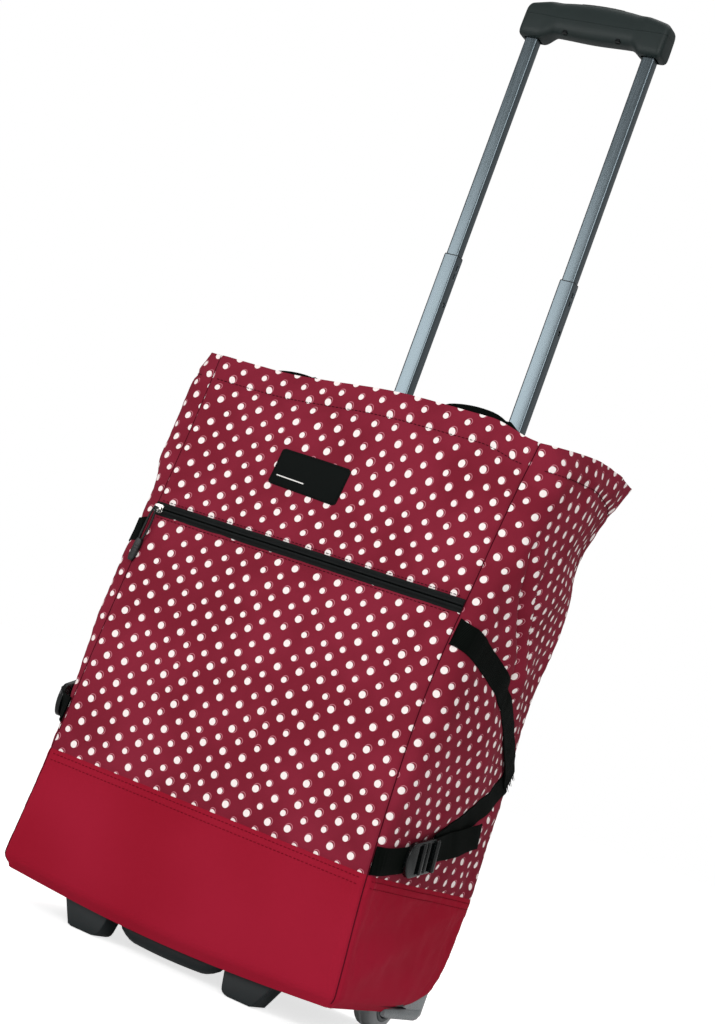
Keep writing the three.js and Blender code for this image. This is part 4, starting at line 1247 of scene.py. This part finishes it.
def crimp(x, y, z):
    """A cutter for a crimp mark in a tube's right face."""
    shape = bmesh.new()
    bmesh.ops.create_icosphere(shape, subdivisions=3, radius=1)
    bmesh.ops.scale(shape, vec=(1.5, 2.8, 4.4), verts=shape.verts)
    bmesh.ops.translate(shape, vec=(x, y, z), verts=shape.verts)
    return shape


def build_tubes():
    for side in SIDES:
        hollow_tube(f"lower_tube_{side}", f"fixed_tube_{side}", "chassis", 1.2, radius=2.6)
        middle = hollow_tube(f"middle_tube_{side}", f"mid_tube_{side}", "middle_stage", 0.7)
        low, high = node_box(f"mid_tube_{side}")
        y = (low.y + high.y) / 2
        marks = [crimp(high.x + 0.45, y, high.z - rest) for rest in (11, 20)]
        hole_z = (node_box(f"lock_pin_{side}")[0].z + node_box(f"lock_pin_{side}")[1].z) / 2
        hole = turned([(-4, 0.01), (-4, 2.6), (4, 2.6), (4, 0.01)], (high.x, y, hole_z), 20)
        carve(middle, *marks, hole)
        hollow_tube(f"upper_tube_{side}", f"inner_tube_{side}", "handle", 0.7)
        x = (low.x + high.x) / 2
        ring_outer = rounded_rectangle(high.x - low.x - 0.3, high.y - low.y - 0.3, 2.2)
        ring_inner = rounded_rectangle(high.x - low.x - 1.9, high.y - low.y - 2.6, 1.8)
        points, faces = [], []
        for ring, z in ((ring_outer, high.z - 1), (ring_outer, high.z + 0.7), (ring_inner, high.z + 0.9),
                        (ring_inner, high.z - 1)):
            points += [Vector((x + u, y + v, z)) for u, v in ring]
        size = len(ring_outer)
        for i in range(4):
            for k in range(size):
                m, j = (k + 1) % size, (i + 1) % 4
                faces.append((i * size + k, i * size + m, j * size + m, j * size + k))
        piece_from(f"guide_ring_{side}", points, faces, [BUTTON_PLASTIC], "middle_stage")


GRIP_LOW, GRIP_HIGH = node_box("grip_body")[0], node_box("grip_cover")[1]
GRIP_SPLIT = (node_box("grip_body")[1].z + node_box("grip_cover")[0].z) / 2


def grip_section(x):
    """The grip's section at X: a deep boss at each end and a slimmer arch between, fuller below."""
    half = GRIP_HIGH.x
    boss = edge_step(abs(x), 42, 58)
    end = max(0.0, (abs(x) - (half - 6)) / 6)
    tuck = 5.0 * (1 - math.sqrt(max(0.0, 1 - end * end)))
    crown = GRIP_HIGH.z - 1.0 - 10.5 * (abs(x) / half) ** 2
    top = crown - tuck
    bottom = GRIP_LOW.z + 8.0 * (1 - boss) - 1.4 * (1 - boss) * hump(x, 0, 30) + tuck * 0.6
    deep = (24.5 + 3.5 * boss) / 2 - tuck
    middle_z = (top + bottom) / 2
    points = []
    sharpness = 2 / (3.0 + 2.2 * boss)
    for k in range(32):
        a = 2 * math.pi * k / 32
        c, s = math.cos(a), math.sin(a)
        v = math.copysign(abs(s) ** sharpness, s)
        u = math.copysign(abs(c) ** sharpness, c)
        taper = 1 - 0.13 * (1 - 0.6 * boss) * (v + 0.45)
        points.append(Vector((x, u * deep * min(taper, 1.06), middle_z + v * (top - bottom) / 2)))
    return points


BUTTON_ROOM = 0.5
BUTTON_TRAVEL_ROOM = 7


def build_grip():
    """The moulded grip in two halves, its release button and the dark mouths of its bosses."""
    y = (GRIP_LOW.y + GRIP_HIGH.y) / 2
    half = GRIP_HIGH.x
    spots = [half - 6 + 6 * math.sin(math.pi / 2 * k / 6) for k in range(7)]
    inner = [(half - 6) * k / 34 for k in range(34)]
    xs = sorted({-v for v in inner + spots} | set(inner + spots))
    points = [p + Vector((0, y, 0)) for x in xs for p in grip_section(x)]
    size = 32
    faces = [(i * size + k, i * size + (k + 1) % size, (i + 1) * size + (k + 1) % size, (i + 1) * size + k)
             for i in range(len(xs) - 1) for k in range(size)]
    faces.append(tuple(range(size))[::-1])
    faces.append(tuple((len(xs) - 1) * size + k for k in range(size)))
    for name, keep_low, stands_for in (("grip_lower_half", True, ["grip_body"]),
                                       ("grip_upper_half", False, ["grip_cover"])):
        shape = bmesh_from(points, faces)
        bmesh.ops.recalc_face_normals(shape, faces=shape.faces)
        level = GRIP_SPLIT + (-0.12 if keep_low else 0.12)
        bmesh.ops.bisect_plane(shape, geom=shape.verts[:] + shape.edges[:] + shape.faces[:],
                               plane_co=(0, 0, level), plane_no=(0, 0, 1),
                               clear_outer=keep_low, clear_inner=not keep_low)
        bmesh.ops.holes_fill(shape, edges=[e for e in shape.edges if e.is_boundary])
        made = piece_from_bmesh(name, shape, [GRIP_PLASTIC], "handle", stands_for, sharp=60)
        if keep_low:
            mouths = []
            for side in SIDES:
                low, high = node_box(f"inner_tube_{side}")
                mouth_low = (low.x - 1.3, low.y - 1.3, GRIP_LOW.z - 4)
                mouths.append(block(mouth_low, (high.x + 1.3, high.y + 1.3, 993), 1.2))
            screw_hole = [(GRIP_LOW.z - 3, 0.01), (GRIP_LOW.z - 3, 2.9),
                          (GRIP_LOW.z + 12, 2.9), (GRIP_LOW.z + 12, 0.01)]
            screws = []
            for side in SIDES:
                low, high = node_box(f"grip_screw_{side}")
                centre = ((low.x + high.x) / 2, (low.y + high.y) / 2, 0)
                screws.append(turned(screw_hole, centre, 20, "Z"))
            carve(made, *mouths, *screws)
        else:
            low, high = node_box("release_button")
            carve(made, block((low.x - BUTTON_ROOM, low.y - BUTTON_ROOM, low.z - BUTTON_TRAVEL_ROOM),
                              (high.x + BUTTON_ROOM, high.y + BUTTON_ROOM, high.z + 10), 0.3))
    low, high = node_box("release_button")
    arch = [(low.x + (high.x - low.x) * k / 24, 0) for k in range(25)]
    crown = [(x, GRIP_HIGH.z - 1.7 - 10.5 * (abs(x) / half) ** 2) for x, _ in reversed(arch)]
    outline = [(low.x, low.z), (high.x, low.z), *crown]
    ribs = [block((x - 0.7, low.y + 2, GRIP_HIGH.z - 3.0), (x + 0.7, high.y - 2, GRIP_HIGH.z - 1.1), 0.3)
            for x in (-12, -8, -4, 0, 4, 8, 12)]
    piece_from_bmesh("button_cap", joined(pressed(outline, low.y, high.y, 0.8), *ribs), [BUTTON_PLASTIC],
                     "release", ["release_button"])


# ---- chassis --------------------------------------------------------------------------------

def build_feet():
    """Two moulded feet that narrow to a flat sole, with eased edges."""
    for side in SIDES:
        low, high = node_box(f"foot_{side}")
        x = (low.x + high.x) / 2
        sign = SIDES[side]
        corner = [(-23, 7), (-22, 4), (-20, 1.8), (-17, 0.5), (-14, 0)]
        outline = [(-27, high.z), *corner, (9, 0), (13, 1.2), (27, high.z)]
        outline = [(x + sign * u, z) for u, z in outline]
        piece_from_bmesh(f"front_foot_{side}", pressed(outline, low.y, high.y, 1.8), [FOOT_PLASTIC],
                         "chassis", [f"foot_{side}"])


def build_bottom_grip():
    """The bar that lifts the trolley: a full round bar that swells in the middle."""
    low, high = node_box("bottom_grip")
    y = (low.y + high.y) / 2
    stations = []
    steps = 48
    for k in range(steps + 1):
        t = -1 + 2 * k / steps
        x = (high.x - 8) * t
        end = max(0.0, (abs(t) - 0.82) / 0.18)
        lift = 9.0 * (1 - math.sqrt(max(0.0, 1 - end * end)))
        z = low.z + 10.4 + lift
        thick = 1 - 0.16 * abs(t) ** 2
        slope = 0.0 if end == 0 else math.copysign(min(end * 1.3, 1.3), t)
        along = Vector((math.cos(slope), 0, math.sin(slope)))
        stations.append((Vector((x + 7.6 * math.copysign(end ** 2, t), y, z)), Vector((0, thick, 0)),
                         Vector((-along.z, 0, along.x)) * thick))
    points, faces = swept(stations, ellipse(22, 20.5, 24))
    pads = [block((s * 47 - 7, low.y + 1, high.z - 5), (s * 47 + 7, high.y - 1, high.z), 1.2)
            for s in (-1, 1)]
    piece_from_bmesh("lifting_bar", joined(bmesh_from(points, faces), *pads), [FOOT_PLASTIC], "chassis",
                     ["bottom_grip"], sharp=60)


def housing_outline(grow):
    """Plan of a right wheel housing, with its round outer corner."""
    low, high = node_box("wheel_housing_right")
    radius = 26 + grow
    outline = [(low.x, low.y - grow), (high.x + grow - 4, low.y - grow), (high.x + grow, low.y - grow + 4)]
    centre = (high.x - 26, high.y - 26)
    outline += [(centre[0] + radius * math.cos(a), centre[1] + radius * math.sin(a))
                for a in [math.pi / 2 * k / 10 for k in range(11)]]
    outline.append((low.x, high.y + grow))
    return outline


def pushed_up(outline, z0, z1, bevel=0.0, sign=1):
    """A plan outline pushed up from z0 to z1."""
    shape = bmesh.new()
    base = shape.faces.new([shape.verts.new((sign * x, y, z0)) for x, y in outline])
    pushed = bmesh.ops.extrude_face_region(shape, geom=[base])["geom"]
    bmesh.ops.translate(shape, vec=(0, 0, z1 - z0), verts=vertices_in(pushed))
    bmesh.ops.recalc_face_normals(shape, faces=shape.faces)
    if bevel:
        rims = [e for e in shape.edges if e.verts[0].co.z == e.verts[1].co.z]
        bmesh.ops.bevel(shape, geom=rims, offset=bevel, segments=3, affect="EDGES", profile=0.5)
    return shape


def build_housings():
    """Moulded wheel housings, with a lip that comes out under the cloth at each rear corner."""
    low, high = node_box("wheel_housing_right")
    tyre_low, tyre_high = node_box("tyre_right")
    for side, sign in SIDES.items():
        moulding = pushed_up(housing_outline(0), low.z + 2, high.z - 2, 3, sign)
        made = piece_from_bmesh(f"housing_{side}", moulding, [HOUSING_PLASTIC], "chassis",
                                [f"wheel_housing_{side}"])
        well_x = sorted((sign * (tyre_low.x - 5), sign * (tyre_high.x + 5)))
        hollow_x = sorted((sign * (tyre_high.x + 9), sign * (high.x - 4)))
        carve(made,
              block((well_x[0], low.y + 5, low.z - 5), (well_x[1], high.y + 20, high.z - 6), 1.5),
              block((hollow_x[0], low.y + 6, low.z - 5), (hollow_x[1], high.y - 12, high.z - 8), 1.5))
        build_lip(side, sign)


def build_lip(side, sign):
    """The glossy lip that the cloth is tacked behind: it runs along the side and climbs as it
    turns round the rear corner."""
    radius = corner_radius(CLOTH_LOW)
    half = half_back(CLOTH_LOW)
    run = [(half, 8 + 9 * k, 0.0) for k in range(8)]
    corner = (half - radius, BACK_Y - radius)
    quarter = [math.pi / 2 * k / 12 for k in range(13)]
    run += [(corner[0] + radius * math.cos(a), corner[1] + radius * math.sin(a), edge_step(a, 0, 0.9))
            for a in quarter if corner[1] + radius * math.sin(a) > run[-1][1] + 2]
    run += [(corner[0] - 8 * k, BACK_Y, 1.0) for k in range(1, 4)]
    stations = []
    for i, (x, y, up) in enumerate(run):
        x0, y0, _ = run[max(i - 1, 0)]
        x1, y1, _ = run[min(i + 1, len(run) - 1)]
        along = Vector((x1 - x0, y1 - y0, 0)).normalized()
        out = Vector((along.y, -along.x, 0))
        small = 1 - 0.35 * (1 if i in (0, len(run) - 1) else 0)
        stations.append((Vector((x, y, 28.5 + 13.5 * up)) - out * 1.5, Vector((0, 0, small)), out * small))
    stations = [(Vector((sign * p.x, p.y, p.z)), across, Vector((sign * out.x, out.y, 0)))
                for p, across, out in stations]
    section = [(-4.8, -3), (-4.8, 1.4), (-3.8, 2.6), (-1, 3.0), (2.6, 2.4), (4.6, 1.2), (5.0, 0), (5.0, -3)]
    points, faces = swept(stations, section)
    piece_from_bmesh(f"housing_lip_{side}", bmesh_from(points, faces), [HOUSING_PLASTIC], "chassis")


def both_halves(half_profile):
    """A wheel's whole profile, from the half of it on one side of its middle."""
    return [(-at, radius) for at, radius in half_profile] + half_profile[::-1]


def build_wheels():
    """Grey tyres with a shallow tread, on spoked hubs."""
    for side in SIDES:
        low, high = node_box(f"tyre_{side}")
        centre = Vector(((low.x + high.x) / 2, (low.y + high.y) / 2, (low.z + high.z) / 2))
        radius, half = (high.z - low.z) / 2, (high.x - low.x) / 2
        hub = 21.2
        tread = [(half, hub), (half, radius - 4.5), (half - 0.8, radius - 2.4), (half - 2.6, radius - 0.9),
                 (half - 5, radius - 0.2), (2.6, radius), (1.9, radius - 1.1)]
        piece_from_bmesh(f"tyre_ring_{side}", turned(both_halves(tread), centre, 72), [TYRE_RUBBER],
                         f"wheel_{side}", [f"tyre_{side}"])
        face = half + 0.8
        rim = [(face, 3.2), (face, 7), (face - 2.5, 8), (3, 8), (3, 15.5), (face - 1, 17), (face, 17.6),
               (face, 20.4), (face - 0.6, 21)]
        shape = turned(both_halves(rim), centre, 60)
        spokes = []
        for k in range(6):
            spoke = block((-face + 2.2, -1.3, 7.2), (face - 2.2, 1.3, 16.6), 0.5)
            about_axle = Matrix.Rotation(math.pi * k / 3, 3, "X")
            bmesh.ops.rotate(spoke, verts=spoke.verts, cent=(0, 0, 0), matrix=about_axle)
            bmesh.ops.translate(spoke, vec=centre, verts=spoke.verts)
            spokes.append(spoke)
        piece_from_bmesh(f"hub_{side}", joined(shape, *spokes), [HUB_PLASTIC], f"wheel_{side}",
                         [f"wheel_hub_{side}"])


# ---- carry handles --------------------------------------------------------------------------

def build_carry_handles():
    """Webbing loops that hang in the mouth: flat where sewn, then a half twist and a round turn."""
    for name, y, lean in (("front", -82, 9), ("back", 60, -15)):
        low, high = node_box(f"carry_handle_{name}")
        half = high.x - WEB / 2
        top, bottom = high.z, low.z
        radius = 62
        way = 1 if name == "front" else -1
        route = []
        for k in range(7):
            a = math.pi * k / 6
            route.append((half, y + way * (1 - math.cos(a)) * 3.2 - way * 3.2, top + 3.5 * math.sin(a), 0.0))
        drop = top - bottom - radius
        for k in range(1, 15):
            t = k / 14
            route.append((half - 4 * t * t, y + way * 3.2 + lean * t, top - drop * t,
                          edge_step(t, 0.25, 1.0)))
        for k in range(1, 11):
            a = math.pi / 2 * k / 10
            route.append(((half - 4 - radius) + radius * math.cos(a), y + way * 3.2 + lean,
                          bottom + radius - radius * math.sin(a), 1.0))
        end_x, end_y, end_z, _ = route[-1]
        flat_run = [(end_x * (1 - 2 * k / 12), end_y, end_z - 2 * math.sin(math.pi * k / 12), 1.0)
                    for k in range(1, 12)]
        other = [(-x, py, z, turn) for x, py, z, turn in reversed(route)]
        whole = route + flat_run + other
        spots = [Vector(p[:3]) for p in whole]
        stations = []
        length = [0.0]
        for i, spot in enumerate(spots):
            ahead = spots[min(i + 1, len(spots) - 1)] - spots[max(i - 1, 0)]
            along = ahead.normalized()
            turn = whole[i][3]
            wanted = Vector((1, 0, 0)) * (1 - turn) + Vector((0, 1, 0)) * turn
            across = (wanted - along * wanted.dot(along)).normalized()
            stations.append((spot, across, along.cross(across).normalized()))
            if i:
                length.append(length[-1] + (spot - spots[i - 1]).length)
        section = flat_section(WEB, 2.0, 0.5)
        points, faces = swept(stations, section)
        uvs = [(length[i], s) for i in range(len(stations)) for s, _ in section]
        piece_from(f"carry_loop_{name}", points, faces, [WEBBING], f"carry_{name}",
                   [f"carry_handle_{name}"], uvs)


def build_sewn_ends():
    """The ends of the front handle, sewn sideways inside the rim so that they look over it."""
    for side, x0, x1, rise in (("left", -110, -62, 3.0), ("right", 70, 150, 6.5)):
        stations = []
        steps = 16
        for k in range(steps + 1):
            t = k / steps
            x = x0 + (x1 - x0) * t
            z = FRONT_TOP + mouth_wave("front", 0.5 + x / (2 * half_front(FRONT_TOP)), FRONT_TOP)
            lift = rise * math.sin(math.pi * min(1, t * 1.15)) ** 0.6 if t < 0.87 else rise * (1 - t) / 0.2
            stations.append((Vector((x, front_y(FRONT_TOP) + 3.4, z - WEB / 2 + lift)), Vector((0, 0, 1)),
                             Vector((0, -1, 0))))
        points, faces = swept(stations, flat_section(WEB, 2.2, 0.6))
        piece_from(f"handle_end_{side}", points, faces, [WEBBING], "chassis", (),
                   [(p.x, p.z) for p in points])


# ---- parts kept as they are, with their finish ----------------------------------------------

# The base plate's finish is painted shade under the band's hem; the other finishes are the parts' own
# colours.
KEPT_FINISH = {
    "mid_bush_left": BUTTON_PLASTIC, "mid_bush_right": BUTTON_PLASTIC, "lock_block_left": BUTTON_PLASTIC,
    "lock_block_right": BUTTON_PLASTIC, "lock_pin_left": ZINC_STEEL, "lock_pin_right": ZINC_STEEL,
    "tube_collar": BUTTON_PLASTIC, "grip_screw_left": BLACK_STEEL, "grip_screw_right": BLACK_STEEL,
    "push_rods": ZINC_STEEL, "base_plate": PLATE_PAINTED_SHADE, "axle_left": ZINC_STEEL, "axle_right": ZINC_STEEL,
}


def finish_kept_parts():
    for name, material in KEPT_FINISH.items():
        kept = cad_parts[name]
        kept.data.materials.clear()
        kept.data.materials.append(material)


# ---- studio ---------------------------------------------------------------------------------

CAMERA_AT = Vector((936.9, -1758.0, 251.0)) * MM
CAMERA_TURN = math.radians(28.6)
CAMERA_RISE = math.radians(-5.8)
CAMERA_ROLL = math.radians(20.2)
CAMERA_LENS = 73.52


def build_camera():
    """A camera at the right front, a little below the middle and rolled, as if the trolley leaned."""
    back = Vector((math.sin(CAMERA_TURN) * math.cos(CAMERA_RISE),
                   -math.cos(CAMERA_TURN) * math.cos(CAMERA_RISE),
                   math.sin(CAMERA_RISE)))
    right = Vector((math.cos(CAMERA_TURN), math.sin(CAMERA_TURN), 0))
    up = back.cross(right)
    rolled_right = right * math.cos(CAMERA_ROLL) + up * math.sin(CAMERA_ROLL)
    rolled_up = up * math.cos(CAMERA_ROLL) - right * math.sin(CAMERA_ROLL)
    data = bpy.data.cameras.new("studio_camera")
    data.lens = CAMERA_LENS
    data.sensor_width = 36
    camera = bpy.data.objects.new("studio_camera", data)
    axes = Matrix((rolled_right, rolled_up, back)).transposed().to_4x4()
    camera.matrix_world = Matrix.Translation(CAMERA_AT) @ axes
    bpy.context.scene.collection.objects.link(camera)
    bpy.context.scene.camera = camera


def softbox(name, at, towards, size, power):
    data = bpy.data.lights.new(name, "AREA")
    data.shape = "RECTANGLE"
    data.size, data.size_y = size
    data.energy = power
    lamp = bpy.data.objects.new(name, data)
    lamp.location = at
    lamp.rotation_euler = (Vector(towards) - Vector(at)).to_track_quat("-Z", "Y").to_euler()
    bpy.context.scene.collection.objects.link(lamp)


def build_studio():
    """A white floor and surround, with a large soft light at the left front and one at the right."""
    shape = bmesh.new()
    bmesh.ops.create_circle(shape, cap_ends=True, segments=96, radius=30)
    mesh = bpy.data.meshes.new("studio_floor")
    shape.to_mesh(mesh)
    shape.free()
    mesh.materials.append(studio_paper())
    floor = bpy.data.objects.new("studio_floor", mesh)
    floor.location.z = -0.0005
    bpy.context.scene.collection.objects.link(floor)
    world = bpy.data.worlds.new("studio_white")
    bpy.context.scene.world = world
    world.use_nodes = True
    tree = world.node_tree
    sky = tree.nodes["Background"]
    sky.inputs["Color"].default_value = linear("#ffffff")
    sky.inputs["Strength"].default_value = 0.38
    seen = node(tree, "ShaderNodeBackground", {"Color": linear("#ffffff"), "Strength": 1.0})
    ray = node(tree, "ShaderNodeLightPath")
    choose = node(tree, "ShaderNodeMixShader", None,
                  {0: ray.outputs["Is Camera Ray"], 1: sky.outputs[0], 2: seen.outputs[0]})
    tree.links.new(choose.outputs[0], tree.nodes["World Output"].inputs["Surface"])
    middle = (0, 0, 0.45)
    softbox("key_softbox", (-1.6, -2.6, 1.0), middle, (1.6, 1.2), 26)
    softbox("fill_softbox", (1.7, -3.0, 1.4), middle, (1.8, 1.8), 46)
    softbox("top_softbox", (0.2, 0.2, 2.6), middle, (1.6, 1.6), 20)
    bpy.context.scene.view_settings.view_transform = "Standard"


build_camera()
build_bag()
build_stitches()
build_seam_cords()
build_inside()
build_zip()
build_slider()
build_label()
build_straps()
build_tubes()
build_grip()
build_feet()
build_bottom_grip()
build_housings()
build_wheels()
build_carry_handles()
build_sewn_ends()
finish_kept_parts()
build_studio()
